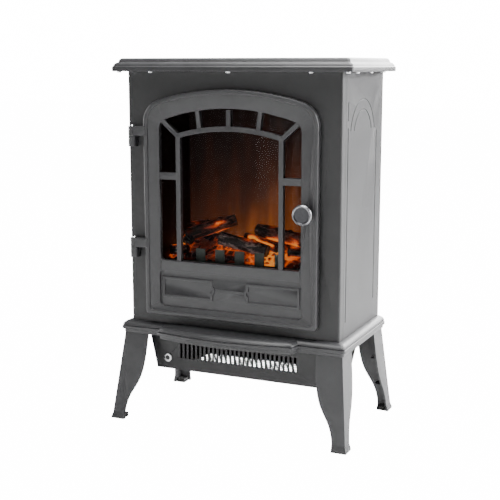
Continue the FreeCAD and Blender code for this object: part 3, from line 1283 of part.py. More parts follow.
def heater_grille():
    """The perforated intake plate on the housing floor."""
    y1 = HOUSING_BACK - SHEET - GRILLE_REAR_GAP
    y0 = y1 - GRILLE_DEPTH
    z = HOUSING_Z + SHEET
    plate = block(-GRILLE_HALF, GRILLE_HALF, y0, y1, z, z + GRILLE_SHEET)
    row_pitch = GRILLE_PITCH * math.sqrt(3) / 2
    holes = []
    rows = int((GRILLE_DEPTH - 14.0) / row_pitch) + 1
    columns = int((2 * GRILLE_HALF - 16.0) / GRILLE_PITCH)
    for row in range(rows):
        y = (y0 + y1) / 2 + (row - (rows - 1) / 2) * row_pitch
        for column in range(columns):
            x = (column - (columns - 1) / 2 + (0.25 if row % 2 else -0.25)) * GRILLE_PITCH
            hole = Part.makePolygon([FreeCAD.Vector(x + GRILLE_HOLE_R * math.cos(math.radians(60 * k)),
                                                    y + GRILLE_HOLE_R * math.sin(math.radians(60 * k)),
                                                    z - 1.0)
                                     for k in range(7)])
            holes.append(Part.Face(hole).extrude(Z_AXIS * 3.0))
    return cut(plate, holes)


def housing_screws():
    badge_z = HOUSING_Z + BADGE_SCREW_UP
    return screw(BADGE_SCREW_X, HOUSING_Y, badge_z, Y_AXIS, 5.0, SCREW_R, BADGE_SCREW_R, SCREW_HEAD)


def blower_scroll():
    """The fan cradle: a half-round hood, front and rear skirts, two end plates and two feet."""
    outer_r = SCROLL_R + SHEET
    length = SCROLL_RIGHT - SCROLL_LEFT
    tube = rod(outer_r, length, SCROLL_LEFT, ROTOR_Y, ROTOR_Z, X_AXIS)
    tube = tube.cut(rod(SCROLL_R, length, SCROLL_LEFT, ROTOR_Y, ROTOR_Z, X_AXIS))
    hood = tube.common(block(SCROLL_LEFT, SCROLL_RIGHT, ROTOR_Y - FAR, ROTOR_Y + FAR, ROTOR_Z,
                             ROTOR_Z + FAR))
    skirt_z = BASE_Z - 6.0
    front = block(SCROLL_LEFT, SCROLL_RIGHT, ROTOR_Y - outer_r, ROTOR_Y - SCROLL_R, skirt_z, ROTOR_Z + 0.5)
    rear = block(SCROLL_LEFT, SCROLL_RIGHT, ROTOR_Y + SCROLL_R, ROTOR_Y + outer_r, skirt_z - 18.0,
                 ROTOR_Z + 0.5)
    pieces = [hood, front, rear]
    for x in (SCROLL_LEFT - SHEET, SCROLL_RIGHT):
        disc = rod(outer_r, SHEET, x, ROTOR_Y, ROTOR_Z, X_AXIS)
        apron = block(x, x + SHEET, ROTOR_Y - outer_r, ROTOR_Y + outer_r, skirt_z, ROTOR_Z)
        pieces += [disc, apron]
    for side in (-1, 1):
        near, far = sorted((ROTOR_Y + side * (SCROLL_R - 4.0), ROTOR_Y + side * (outer_r + SCROLL_FLANGE)))
        pieces.append(block(SCROLL_LEFT, SCROLL_RIGHT, near, far, BODY_Z, BODY_Z + SHEET)
                      .cut(rod(SCROLL_R, FAR, SCROLL_LEFT, ROTOR_Y, ROTOR_Z, X_AXIS)))
    bores = [rod(BEARING_R, 3 * SHEET, SCROLL_LEFT - 2 * SHEET, ROTOR_Y, ROTOR_Z, X_AXIS),
             rod(BEARING_R, 3 * SHEET, SCROLL_RIGHT - SHEET, ROTOR_Y, ROTOR_Z, X_AXIS)]
    return cut(fuse(pieces), bores)


def blower_rotor():
    """A cross-flow impeller: end and middle discs joined by slanted blades."""
    discs = []
    length = ROTOR_RIGHT - ROTOR_LEFT
    for share in (0.0, 0.5, 1.0):
        x = ROTOR_LEFT + share * (length - ROTOR_DISC)
        discs.append(rod(ROTOR_R, ROTOR_DISC, x, ROTOR_Y, ROTOR_Z, X_AXIS))
    chord, thick = ROTOR_BLADE
    blades = []
    for index in range(ROTOR_BLADES):
        blade = block(ROTOR_LEFT, ROTOR_RIGHT, ROTOR_Y - thick / 2, ROTOR_Y + thick / 2,
                      ROTOR_Z + ROTOR_R - chord - 0.6, ROTOR_Z + ROTOR_R - 0.6)
        blade.rotate(FreeCAD.Vector(0, ROTOR_Y, ROTOR_Z + ROTOR_R - chord / 2), X_AXIS, 24.0)
        blade.rotate(FreeCAD.Vector(0, ROTOR_Y, ROTOR_Z), X_AXIS, 360.0 * index / ROTOR_BLADES)
        blades.append(blade)
    return fuse(discs + blades).cut(rod(ROTOR_SHAFT_R, FAR, -FAR / 2, ROTOR_Y, ROTOR_Z, X_AXIS))


def blower_shaft():
    start = SCROLL_LEFT - SHEET - 2.0
    end = SCROLL_RIGHT + SHEET + BLOWER_MOTOR_LENGTH / 2
    return rod(ROTOR_SHAFT_R, end - start, start, ROTOR_Y, ROTOR_Z, X_AXIS)


def blower_bearing():
    """The plain bush and its rubber seat in the scroll's left end plate."""
    bush = rod(BEARING_R, SHEET + 3.0, SCROLL_LEFT - SHEET - 3.0, ROTOR_Y, ROTOR_Z, X_AXIS)
    lip = rod(BEARING_R + 2.0, 1.0, SCROLL_LEFT - SHEET - 1.0, ROTOR_Y, ROTOR_Z, X_AXIS)
    bore = rod(ROTOR_SHAFT_R + RUNNING_FIT, 10.0, SCROLL_LEFT - SHEET - 4.0, ROTOR_Y, ROTOR_Z, X_AXIS)
    return bush.fuse(lip).removeSplitter().cut(bore)


def blower_motor():
    start = SCROLL_RIGHT + SHEET
    can = rod(BLOWER_MOTOR_R, BLOWER_MOTOR_LENGTH, start, ROTOR_Y, ROTOR_Z, X_AXIS)
    boss = rod(BEARING_R, SHEET, SCROLL_RIGHT, ROTOR_Y, ROTOR_Z, X_AXIS)
    cap = rod(BLOWER_MOTOR_R - MOTOR_CAP[0], MOTOR_CAP[1], start + BLOWER_MOTOR_LENGTH, ROTOR_Y, ROTOR_Z,
              X_AXIS)
    depth = BLOWER_MOTOR_LENGTH / 2 + SHEET + 1.0
    bore = rod(ROTOR_SHAFT_R + RUNNING_FIT, depth, SCROLL_RIGHT, ROTOR_Y, ROTOR_Z, X_AXIS)
    return fuse([can, boss, cap]).cut(bore)


def heating_element():
    """A finned heater bar: three flat tubes with rows of thin fins between them."""
    y0, y1 = ELEMENT_Y - ELEMENT_DEPTH / 2, ELEMENT_Y + ELEMENT_DEPTH / 2
    z0 = ELEMENT_TOP - ELEMENT_HEIGHT
    rise = (ELEMENT_HEIGHT - ELEMENT_TUBE) / 2
    pieces = []
    for row in range(3):
        z = z0 + row * rise
        pieces.append(block(-ELEMENT_HALF, ELEMENT_HALF, y0, y1, z, z + ELEMENT_TUBE))
    reach = ELEMENT_HALF - ELEMENT_FIN_END
    for index in range(ELEMENT_FINS):
        x = -reach + index * 2 * reach / (ELEMENT_FINS - 1)
        pieces.append(block(x - ELEMENT_FIN / 2, x + ELEMENT_FIN / 2, y0 + ELEMENT_FIN, y1 - ELEMENT_FIN,
                            z0 + ELEMENT_FIN, ELEMENT_TOP - ELEMENT_FIN))
    return fuse(pieces)


def element_brackets():
    """Two hangers that clamp the heater bar's ends under the base's roof."""
    plates = []
    y0, y1 = ELEMENT_Y - ELEMENT_DEPTH, ELEMENT_Y + ELEMENT_DEPTH
    for side in (-1, 1):
        inner = side * ELEMENT_HALF
        low, high = sorted((inner, inner + side * BRACKET_SHEET))
        plate = block(low, high, y0, y1, ELEMENT_TOP - ELEMENT_HEIGHT, BASE_ROOF_Z)
        low, high = sorted((inner, inner + side * ELEMENT_FLANGE))
        flange = block(low, high, y0, y1, BASE_ROOF_Z - BRACKET_SHEET, BASE_ROOF_Z)
        plates.append(plate.fuse(flange).removeSplitter())
    return Part.makeCompound(plates)


def thermal_cutout():
    x = ELEMENT_HALF + BRACKET_SHEET
    z = ELEMENT_TOP - ELEMENT_HEIGHT / 2
    can = rod(CUTOUT_R, CUTOUT_HEIGHT, x, ELEMENT_Y, z, X_AXIS)
    tabs = [block(x + CUTOUT_HEIGHT - 1.0, x + CUTOUT_HEIGHT + 6.0, ELEMENT_Y + dy - 2.4,
                  ELEMENT_Y + dy + 2.4,
                  z - 0.4, z + 0.4) for dy in (-4.0, 4.0)]
    return fuse([can] + tabs)


# ================================================================ cord entry
def cord_gland():
    """The rear cord bush: an outer flange and a barrel through the back panel."""
    flange = rod(GLAND_FLANGE_R, GLAND_FLANGE, GLAND_X, BACK, GLAND_Z, Y_AXIS)
    rim = [edge for edge in flange.Edges if edge.BoundBox.YMin > BACK + GLAND_FLANGE - 0.01]
    flange = flange.makeFillet(GLAND_ROUND, rim)
    barrel = rod(GLAND_BARREL_R, GLAND_TAIL + 1.0, GLAND_X, BACK - GLAND_TAIL, GLAND_Z, Y_AXIS)
    nut = rod(GLAND_NUT_R, GLAND_NUT, GLAND_X, BACK - SHEET - GLAND_NUT, GLAND_Z, Y_AXIS)
    bore = rod(GLAND_BORE_R, GLAND_TAIL + GLAND_FLANGE + 2.0, GLAND_X, BACK - GLAND_TAIL - 1.0, GLAND_Z,
               Y_AXIS)
    return fuse([flange, barrel, nut]).cut(bore)


def terminal_block():
    """A three-way terminal strip on the base, in front of the cord entry."""
    length, depth, height = TERMINAL_BLOCK
    y1 = BACK - GLAND_TAIL - 6.0
    pieces = [block(GLAND_X - length / 2, GLAND_X + length / 2, y1 - depth, y1, BODY_Z, BODY_Z + height)]
    for step in (-1, 0, 1):
        x = GLAND_X + step * length / 3.2
        pieces.append(block(x - 4.5, x + 4.5, y1 - depth + 3.0, y1 - 3.0, BODY_Z + height - 1.0,
                            BODY_Z + height + TERMINAL_TOWER))
    return fuse(pieces)


# ================================================================ build
def build():
    logs, log_tools = log_solids()
    nodes = {
        "top_plate": top_plate(), "top_underplate": top_underplate(), "top_screws": top_screws(),
        "front_panel": front_panel(), "left_side_panel": side_panel(-1), "right_side_panel": side_panel(1),
        "back_panel": back_panel(), "back_panel_screws": back_panel_screws(), "base_plate": base_plate(),
        "leg_screws": leg_screws(), "foot_pads": foot_pads(),
        "door_frame": door_frame(), "door_knob": door_knob(), "knob_screw": knob_screw(),
        "door_strike": door_strike(), "magnet_catch": magnet_catch(),
        "hinge_brackets": hinge_brackets(), "hinge_pins": hinge_pins(),
        "glass_gasket": glass_gasket(), "window_glass": window_glass(), "firebox_liner": firebox_liner(),
        "fire_grate": fire_grate(), "ember_bed": ember_bed(log_tools), "flame_screen": flame_screen(),
        "flame_rotor": flame_rotor(), "rotor_brackets": rotor_brackets(), "flame_motor": flame_motor(),
        "led_board": led_board(),
        "control_tray": control_tray(), "switch_bodies": switch_bodies(),
        "thermostat_knob": thermostat_knob(), "thermostat_body": thermostat_body(),
        "heater_housing": heater_housing(), "heater_grille": heater_grille(),
        "housing_screws": housing_screws(),
        "blower_scroll": blower_scroll(), "blower_rotor": blower_rotor(), "blower_shaft": blower_shaft(),
        "blower_bearing": blower_bearing(), "blower_motor": blower_motor(),
        "heating_element": heating_element(), "element_brackets": element_brackets(),
        "thermal_cutout": thermal_cutout(),
        "cord_gland": cord_gland(), "terminal_block": terminal_block(),
    }
    for name, x in SWITCH_PLACES:
        nodes[name] = switch_rocker(x)
    for name, (side, end, x, y) in leg_corners().items():
        nodes[name] = leg(side, end, x, y)
    nodes.update(logs)
    return nodes


os.makedirs("parts", exist_ok=True)
for node, shape in build().items():
    shape.exportStep(os.path.join("parts", node + ".step"))
    print(node, len(shape.Solids), round(shape.Volume), shape.isValid())
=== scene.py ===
"""Looks for an electric stove heater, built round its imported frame.

Everything is in metres and in the frame's own axes: +Z is up and -Y is the front, where the door hangs.
"""

import json
import logging
import math
from dataclasses import dataclass
from enum import Enum
from typing import Iterable, Mapping, Optional, Sequence, Union

import bmesh
import bpy
from mathutils import Euler, Matrix, Vector, noise


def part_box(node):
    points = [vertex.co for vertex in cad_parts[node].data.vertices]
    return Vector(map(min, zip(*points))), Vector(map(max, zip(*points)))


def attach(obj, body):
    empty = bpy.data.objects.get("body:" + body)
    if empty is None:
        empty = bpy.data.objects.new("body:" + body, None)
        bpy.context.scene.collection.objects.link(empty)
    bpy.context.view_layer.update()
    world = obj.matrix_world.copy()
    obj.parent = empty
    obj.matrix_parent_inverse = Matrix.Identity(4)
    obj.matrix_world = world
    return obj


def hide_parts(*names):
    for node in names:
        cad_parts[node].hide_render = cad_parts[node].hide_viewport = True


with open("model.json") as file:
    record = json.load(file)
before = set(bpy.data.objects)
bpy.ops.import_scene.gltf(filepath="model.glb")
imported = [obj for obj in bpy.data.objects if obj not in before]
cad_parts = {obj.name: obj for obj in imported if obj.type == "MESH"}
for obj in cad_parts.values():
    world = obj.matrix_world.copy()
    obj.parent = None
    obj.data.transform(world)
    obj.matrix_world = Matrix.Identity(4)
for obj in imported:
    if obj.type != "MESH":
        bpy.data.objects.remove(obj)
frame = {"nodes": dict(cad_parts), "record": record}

LOG = logging.getLogger("stove")
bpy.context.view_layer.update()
SNAP = 2e-5
MM = 0.001
AXIS_ROUNDS = 12

Colour = tuple[float, float, float]
Stops = Sequence[tuple[float, Colour]]

RECORD = frame["record"]
SLOT_OF = {part["node"]: part["material_slot"] for part in RECORD["subparts"]}
BODY_OF = {node: body for body, nodes in RECORD["behaviour"]["bodies"].items() for node in nodes}


class Axis(Enum):
    """The three directions of the frame, each as an index into a vector."""

    X = 0
    Y = 1
    Z = 2


class Head(Enum):
    """What is sunk into a screw's head."""

    CROSS = "cross"
    DISH = "dish"


# ---------------------------------------------------------------- shader graphs
class Value:
    """One output socket. Python's operators on it add Math nodes."""

    def __init__(self, graph: "Graph", socket: bpy.types.NodeSocket) -> None:
        """Wraps a socket.

        Args:
            graph: The graph that the socket's node belongs to.
            socket: The output socket.
        """
        self.graph = graph
        self.socket = socket

    def _maths(self, operation: str, *terms: "Operand") -> "Value":
        """Adds a Math node.

        Args:
            operation: The Math node's operation.
            terms: Its inputs, as numbers or values.

        Returns:
            The node's result.
        """
        return self.graph.add("ShaderNodeMath", {"operation": operation}, dict(enumerate(terms))).out()

    def __add__(self, other: "Operand") -> "Value":
        """This plus the other."""
        return self._maths("ADD", self, other)

    def __radd__(self, other: "Operand") -> "Value":
        """The other plus this."""
        return self._maths("ADD", other, self)

    def __sub__(self, other: "Operand") -> "Value":
        """This less the other."""
        return self._maths("SUBTRACT", self, other)

    def __rsub__(self, other: "Operand") -> "Value":
        """The other less this."""
        return self._maths("SUBTRACT", other, self)

    def __mul__(self, other: "Operand") -> "Value":
        """This times the other."""
        return self._maths("MULTIPLY", self, other)

    def __rmul__(self, other: "Operand") -> "Value":
        """The other times this."""
        return self._maths("MULTIPLY", other, self)

    def __truediv__(self, other: "Operand") -> "Value":
        """This over the other."""
        return self._maths("DIVIDE", self, other)

    def __pow__(self, other: "Operand") -> "Value":
        """This to the power of the other."""
        return self._maths("POWER", self, other)

    def exp(self) -> "Value":
        """The exponential of this."""
        return self._maths("EXPONENT", self)

    def step(self, low: float, high: float) -> "Value":
        """A smooth rise from 0 to 1.

        Args:
            low: Where the rise starts.
            high: Where it ends; below low it falls instead.

        Returns:
            The rise, held at 0 and 1 outside.
        """
        settings = {"interpolation_type": "SMOOTHSTEP"}
        return self.graph.add("ShaderNodeMapRange", settings, {0: self, 1: low, 2: high}).out()


Operand = Union[Value, float]


class Node:
    """A node of a graph, read through its outputs."""

    def __init__(self, graph: "Graph", node: bpy.types.ShaderNode) -> None:
        """Wraps a node.

        Args:
            graph: The graph that it belongs to.
            node: The node.
        """
        self.graph = graph
        self.node = node

    def out(self, name: Union[int, str] = 0) -> Value:
        """The output of that name or place."""
        return Value(self.graph, self.node.outputs[name])


class Graph:
    """The node tree of one material."""

    def __init__(self, name: str) -> None:
        """Starts an empty material.

        Args:
            name: The material's name.
        """
        self.material = bpy.data.materials.new(name)
        self.material.use_nodes = True
        self.tree = self.material.node_tree
        self.tree.nodes.clear()

    def add(self, kind: str, settings: Optional[Mapping] = None, sockets: Optional[Mapping] = None) -> Node:
        """Adds a node of any kind.

        Args:
            kind: The node's type.
            settings: Its own settings, with a ramp's stops under "stops". They are set first.
            sockets: A value or a link for each named or numbered input.

        Returns:
            The wrapped node.
        """
        node = self.tree.nodes.new(kind)
        for key, setting in (settings or {}).items():
            if key == "stops":
                self._set_stops(node, setting)
            else:
                setattr(node, key, setting)
        for key, given in (sockets or {}).items():
            if isinstance(given, Value):
                self.tree.links.new(given.socket, node.inputs[key])
            else:
                node.inputs[key].default_value = given
        return Node(self, node)

    @staticmethod
    def _set_stops(node: bpy.types.ShaderNode, stops: Stops) -> None:
        """Gives a ramp its stops.

        Args:
            node: The ramp.
            stops: Each stop's place and colour, from low to high.
        """
        elements = node.color_ramp.elements
        while len(elements) < len(stops):
            elements.new(1.0)
        for element, (place, colour) in zip(elements, stops):
            element.position = place
            element.color = (*colour, 1.0)

    def place(self) -> Value:
        """The point's place in the frame, in metres."""
        return self.add("ShaderNodeTexCoord").out("Object")

    def stretched(self, scale: Sequence[float]) -> Value:
        """The point's place with each axis scaled.

        Args:
            scale: The three scales.

        Returns:
            The scaled place.
        """
        return self.add("ShaderNodeMapping", None, {"Vector": self.place(), "Scale": tuple(scale)}).out()

    def along(self, axis: Axis) -> Value:
        """The point's place along one axis, in metres."""
        return self.add("ShaderNodeSeparateXYZ", None, {0: self.place()}).out(axis.value)

    def painted(self, name: str) -> Value:
        """A number that the mesh carries at each vertex."""
        return self.add("ShaderNodeAttribute", {"attribute_name": name}).out("Fac")

    def cloud(self, where: Value, scale: float, detail: float = 3.0, rough: float = 0.55) -> Value:
        """Smooth noise.

        Args:
            where: The place it is read at.
            scale: Its lumps for each unit of that place.
            detail: How many finer layers it has.
            rough: How strong they are.

        Returns:
            The noise, from 0 to 1.
        """
        sockets = {"Vector": where, "Scale": scale, "Detail": detail, "Roughness": rough}
        return self.add("ShaderNodeTexNoise", None, sockets).out("Fac")

    def cells(self, where: Value, scale: float) -> Value:
        """Cellular noise.

        Args:
            where: The place it is read at.
            scale: Its cells for each unit of that place.

        Returns:
            The distance to the nearest cell's edge.
        """
        settings = {"feature": "DISTANCE_TO_EDGE"}
        return self.add("ShaderNodeTexVoronoi", settings, {"Vector": where, "Scale": scale}).out("Distance")

    def blend(self, share: Operand, first: Union[Value, Colour], second: Union[Value, Colour]) -> Value:
        """Mixes two colours.

        Args:
            share: How much of the second there is.
            first: The colour at 0.
            second: The colour at 1.

        Returns:
            The mixed colour.
        """
        sockets = {0: share, 6: self._four(first), 7: self._four(second)}
        return self.add("ShaderNodeMix", {"data_type": "RGBA"}, sockets).out(2)

    @staticmethod
    def _four(colour: Union[Value, Colour]) -> Union[Value, tuple]:
        """A plain colour with its alpha; a value as it is."""
        return colour if isinstance(colour, Value) else (*colour, 1.0)

    def ramp(self, share: Operand, stops: Stops) -> Value:
        """A colour from a ramp.

        Args:
            share: Where on the ramp.
            stops: The ramp's stops.

        Returns:
            The colour.
        """
        return self.add("ShaderNodeValToRGB", {"stops": stops}, {0: share}).out("Color")

    def bump(self, height: Value, depth: float, strength: float = 1.0) -> Value:
        """A normal from a height.

        Args:
            height: The height, from 0 to 1.
            depth: What 1 stands for, in metres.
            strength: The share of the effect.

        Returns:
            The normal.
        """
        sockets = {"Height": height, "Distance": depth, "Strength": strength}
        return self.add("ShaderNodeBump", None, sockets).out()

    def surface(self, sockets: Mapping) -> bpy.types.Material:
        """Ends the graph with a Principled shader.

        Args:
            sockets: The shader's inputs by name.

        Returns:
            The finished material.
        """
        shader = self.add("ShaderNodeBsdfPrincipled", None, sockets).out()
        self.add("ShaderNodeOutputMaterial", None, {"Surface": shader})
        return self.material


# ---------------------------------------------------------------- finishes
@dataclass(frozen=True)
class SatinSkin:
    """A sprayed or moulded skin: even colour, a fine grain and a slow mottle.

    Attributes:
        name: The material's name.
        colour: The skin's colour.
        roughness: Its middle roughness.
        grain: The grain's lumps for each metre.
        relief: The grain's height in metres.
        mottle: How far the colour and gloss drift.
        dust: How much pale dust lies on it, from 0 to 1.
        dust_colour: The dust's colour.
    """

    name: str
    colour: Colour
    roughness: float = 0.45
    grain: float = 1100.0
    relief: float = 0.00012
    mottle: float = 0.18
    dust: float = 0.0
    dust_colour: Colour = (0.3, 0.28, 0.26)

    def material(self) -> bpy.types.Material:
        """The finish as a material."""
        graph = Graph(self.name)
        where = graph.place()
        drift = graph.cloud(where, 22.0, 4.0)
        speck = graph.cloud(where, self.grain, 2.0, 0.6)
        deep = tuple(c * (1.0 - self.mottle) for c in self.colour)
        pale = tuple(c * (1.0 + self.mottle) + 0.004 for c in self.colour)
        colour = graph.blend((drift * 0.6 + speck * 0.4).step(0.3, 0.7), deep, pale)
        if self.dust > 0.0:
            lying = graph.cloud(where, 60.0, 5.0).step(0.45, 0.75) * self.dust
            colour = graph.blend(lying, colour, self.dust_colour)
        gloss = self.roughness + (drift - 0.5) * 0.14 + (speck - 0.5) * 0.1
        return graph.surface({
            "Base Color": colour,
            "Roughness": gloss,
            "Normal": graph.bump(speck, self.relief),
        })


@dataclass(frozen=True)
class Metal:
    """Plain or plated metal, drawn along one axis.

    Attributes:
        name: The material's name.
        colour: The metal's colour.
        roughness: Its middle roughness.
        drawn: The axis that its fine lines run along.
        tarnish: How far darker patches go.
        lines: The fine lines for each metre, across them and along them.
    """

    name: str
    colour: Colour
    roughness: float = 0.32
    drawn: Axis = Axis.X
    tarnish: float = 0.25
    lines: tuple[float, float] = (1400.0, 40.0)

    def material(self) -> bpy.types.Material:
        """The finish as a material."""
        graph = Graph(self.name)
        scale = [self.lines[0]] * 3
        scale[self.drawn.value] = self.lines[1]
        lines = graph.cloud(graph.stretched(scale), 1.0, 2.0, 0.5)
        patch = graph.cloud(graph.place(), 45.0, 5.0)
        dull = tuple(c * (1.0 - self.tarnish) for c in self.colour)
        return graph.surface({
            "Base Color": graph.blend(patch.step(0.35, 0.7), self.colour, dull),
            "Metallic": 1.0,
            "Roughness": self.roughness + (lines - 0.5) * 0.22 + (patch - 0.5) * 0.16,
            "Normal": graph.bump(lines, 0.00005, 0.6),
        })


@dataclass(frozen=True)
class PewterPaintedLight:
    """Pewter whose polished rim carries a painted highlight, round a face darkened with painted shade.

    Attributes:
        name: The material's name.
        middle: The face's centre, across and up.
        face: The radius of the face with painted shade.
        rim: The rim's colour, a painted highlight.
        dark: The face's colours, painted shade of the dish, from its darkest to its lightest.
    """

    name: str
    middle: tuple[float, float]
    face: float
    rim: Colour = (0.22, 0.22, 0.23)
    dark: tuple[Colour, Colour] = ((0.035, 0.035, 0.038), (0.075, 0.075, 0.08))

    def material(self) -> bpy.types.Material:
        """The finish as a material."""
        graph = Graph(self.name)
        across = graph.along(Axis.X) - self.middle[0]
        up = graph.along(Axis.Z) - self.middle[1]
        out = (across * across + up * up) ** 0.5
        # The rim's mask, where the painted highlight goes.
        rim = out.step(self.face * 0.93, self.face * 1.04)
        brushed = graph.cloud(graph.stretched((500.0, 500.0, 500.0)), 1.0, 4.0)
        # The face's brushed colour, darkened as painted shade of the dish.
        dark = graph.blend(brushed, *self.dark)
        return graph.surface({
            "Base Color": graph.blend(rim, dark, self.rim),
            "Metallic": 1.0,
            "Roughness": 0.42 - rim * 0.14 + (brushed - 0.5) * 0.12,
            "Normal": graph.bump(brushed, 0.00005, 0.5),
        })


@dataclass(frozen=True)
class Spangle:
    """Zinc-dipped sheet with its crystal flakes.

    Attributes:
        name: The material's name.
        colour: The zinc's colour.
        flake: Flakes for each metre.
    """

    name: str
    colour: Colour
    flake: float = 130.0

    def material(self) -> bpy.types.Material:
        """The finish as a material."""
        graph = Graph(self.name)
        where = graph.place()
        flakes = graph.add("ShaderNodeTexVoronoi", None, {"Vector": where, "Scale": self.flake}).out("Color")
        tone = graph.add("ShaderNodeSeparateXYZ", None, {0: flakes}).out(0)
        dull = tuple(c * 0.72 for c in self.colour)
        scuff = graph.cloud(where, 300.0, 3.0)
        return graph.surface({
            "Base Color": graph.blend(tone, dull, self.colour),
            "Metallic": 1.0,
            "Roughness": 0.3 + tone * 0.16 + (scuff - 0.5) * 0.12,
            "Normal": graph.bump(scuff, 0.00004, 0.6),
        })


@dataclass(frozen=True)
class Pane:
    """Clear float glass: it passes what is behind it and mirrors what is in front.

    Attributes:
        name: The material's name.
        tint: The colour of what it passes.
        roughness: The mirror's roughness.
        index: The glass's refractive index.
    """

    name: str
    tint: Colour
    roughness: float = 0.03
    index: float = 1.45

    def material(self) -> bpy.types.Material:
        """The finish as a material."""
        graph = Graph(self.name)
        film = graph.cloud(graph.place(), 35.0, 4.0).step(0.45, 0.8)
        clear = graph.add("ShaderNodeBsdfTransparent", None, {"Color": (*self.tint, 1.0)}).out()
        shine = graph.add("ShaderNodeBsdfPrincipled", None, {
            "Base Color": (0.02, 0.02, 0.02, 1.0),
            "Roughness": self.roughness + film * 0.05,
        }).out()
        share = graph.add("ShaderNodeFresnel", None, {"IOR": self.index}).out()
        both = graph.add("ShaderNodeMixShader", None, {0: share, 1: clear, 2: shine}).out()
        graph.add("ShaderNodeOutputMaterial", None, {"Surface": both})
        return graph.material


HEAT: Stops = (
    (0.0, (0.0, 0.0, 0.0)),
    (0.18, (0.02, 0.002, 0.0006)),
    (0.42, (0.3, 0.03, 0.005)),
    (0.68, (0.9, 0.13, 0.014)),
    (1.0, (1.0, 0.34, 0.04)),
)


@dataclass(frozen=True)
class CharredWood:
    """Moulded wood: barked sides, sooty ends and seams that glow.

    Attributes:
        name: The material's name.
        bark: The colour of the bark's ridges.
        soot: The colour between the ridges.
        ends: The colours of the burnt ends, from their darkest to their lightest.
        glow: The emission's strength.
    """

    name: str
    bark: Colour
    soot: Colour
    ends: tuple[Colour, Colour] = ((0.006, 0.007, 0.007), (0.16, 0.18, 0.18))
    glow: float = 1.0

    def material(self) -> bpy.types.Material:
        """The finish as a material."""
        graph = Graph(self.name)
        where = graph.place()
        ridge = graph.painted("ridge")
        end = graph.painted("end")
        heat = graph.painted("warmth")
        fleck = graph.cloud(where, 420.0, 3.0, 0.65)
        patch = graph.cloud(where, 70.0, 3.0)
        crest = (ridge * 0.8 + (fleck - 0.5) * 1.2 + (patch - 0.5)).step(0.35, 0.8)
        side = graph.blend(crest, self.soot, self.bark)
        burnt = graph.blend(fleck.step(0.55, 0.72), *self.ends)
        lit = heat * (0.55 + fleck * 0.9) - end * 0.4
        return graph.surface({
            "Base Color": graph.blend(end, side, burnt),
            "Roughness": 0.72 - end * 0.3 + (fleck - 0.5) * 0.2,
            "Emission Color": graph.ramp(lit, HEAT),
            "Emission Strength": self.glow,
            "Normal": graph.bump(fleck, 0.0005),
        })


@dataclass(frozen=True)
class EmberBed:
    """A moulded bed of embers lit from below: dark lumps with a glow between them.

    Attributes:
        name: The material's name.
        ash: The colour of the dull lumps.
        coal: The colour of the dark lumps.
        glow: The emission's strength.
    """

    name: str
    ash: Colour
    coal: Colour
    glow: float = 0.95

    def material(self) -> bpy.types.Material:
        """The finish as a material."""
        graph = Graph(self.name)
        where = graph.place()
        fleck = graph.cloud(where, 380.0, 3.0, 0.7)
        dark = graph.painted("dark")
        heat = graph.painted("warmth")
        colour = graph.blend((dark + (fleck - 0.5) * 0.5).step(0.35, 0.65), self.ash, self.coal)
        return graph.surface({
            "Base Color": colour,
            "Roughness": 0.6 + (fleck - 0.5) * 0.3,
            "Emission Color": graph.ramp(heat * (0.45 + fleck * 1.1), HEAT),
            "Emission Strength": self.glow,
            "Normal": graph.bump(fleck, 0.0006),
        })


@dataclass(frozen=True)
class FlameGlow:
    """The frosted screen with the flames' soft light on it.

    Attributes:
        name: The material's name.
        foot: The height where the glow starts, in metres.
        middle: Where it is strongest across, in metres.
        reach: How fast it fades upwards, in metres.
        spread: How fast it fades sideways, in metres.
        tongues: The flames' tongues for each metre, across and up.
        glow: The emission's strength.
    """

    name: str
    foot: float
    middle: float
    reach: float = 0.075
    spread: float = 0.11
    tongues: tuple[float, float] = (38.0, 7.0)
    glow: float = 1.0

    def material(self) -> bpy.types.Material:
        """The finish as a material."""
        graph = Graph(self.name)
        across = graph.along(Axis.X)
        height = (graph.along(Axis.Z) - self.foot) / self.reach
        tongues = graph.cloud(graph.stretched((self.tongues[0], 1.0, self.tongues[1])), 1.0, 2.0, 0.5)
        spread = (((across - self.middle) / self.spread) ** 2.0 * -1.0).exp()
        rise = height - (tongues - 0.5) * 2.4
        lit = (rise * -0.8).exp() * (0.35 + spread * 0.65)
        frost = graph.cloud(graph.place(), 240.0, 3.0)
        stops = (
            (0.0, (0.0035, 0.003, 0.003)),
            (0.12, (0.009, 0.004, 0.0035)),
            (0.45, (0.055, 0.013, 0.005)),
            (1.0, (0.24, 0.06, 0.012)),
        )
        return graph.surface({
            "Base Color": (0.004, 0.003, 0.003, 1.0),
            "Roughness": 0.6 + frost * 0.15,
            "Specular IOR Level": 0.15,
            "Emission Color": graph.ramp(lit, stops),
            "Emission Strength": self.glow,
        })


@dataclass(frozen=True)
class LampBoard:
    """A green circuit board with its tracks, and amber lamps above its face.

    Attributes:
        name: The material's name.
        face: The height of the board's face, in metres.
        tracks: The tracks for each metre, across and from front to back.
        glow: The lamps' emission strength.
    """

    name: str
    face: float
    tracks: tuple[float, float] = (160.0, 420.0)
    glow: float = 4.0

    def material(self) -> bpy.types.Material:
        """The finish as a material."""
        graph = Graph(self.name)
        lamp = graph.along(Axis.Z).step(self.face + 0.0001, self.face + 0.0003)
        track = graph.cells(graph.stretched((*self.tracks, 1.0)), 1.0).step(0.09, 0.05)
        board = graph.blend(track, (0.012, 0.09, 0.035), (0.05, 0.24, 0.09))
        amber = graph.blend(lamp, (0.0, 0.0, 0.0), (1.0, 0.42, 0.08))
        return graph.surface({
            "Base Color": graph.blend(lamp, board, (0.8, 0.45, 0.15)),
            "Roughness": 0.35 + track * 0.15,
            "Emission Color": amber,
            "Emission Strength": self.glow,
        })


Finish = Union[SatinSkin, Metal, PewterPaintedLight, Spangle, Pane, CharredWood, EmberBed, FlameGlow, LampBoard]
_made: dict[str, bpy.types.Material] = {}


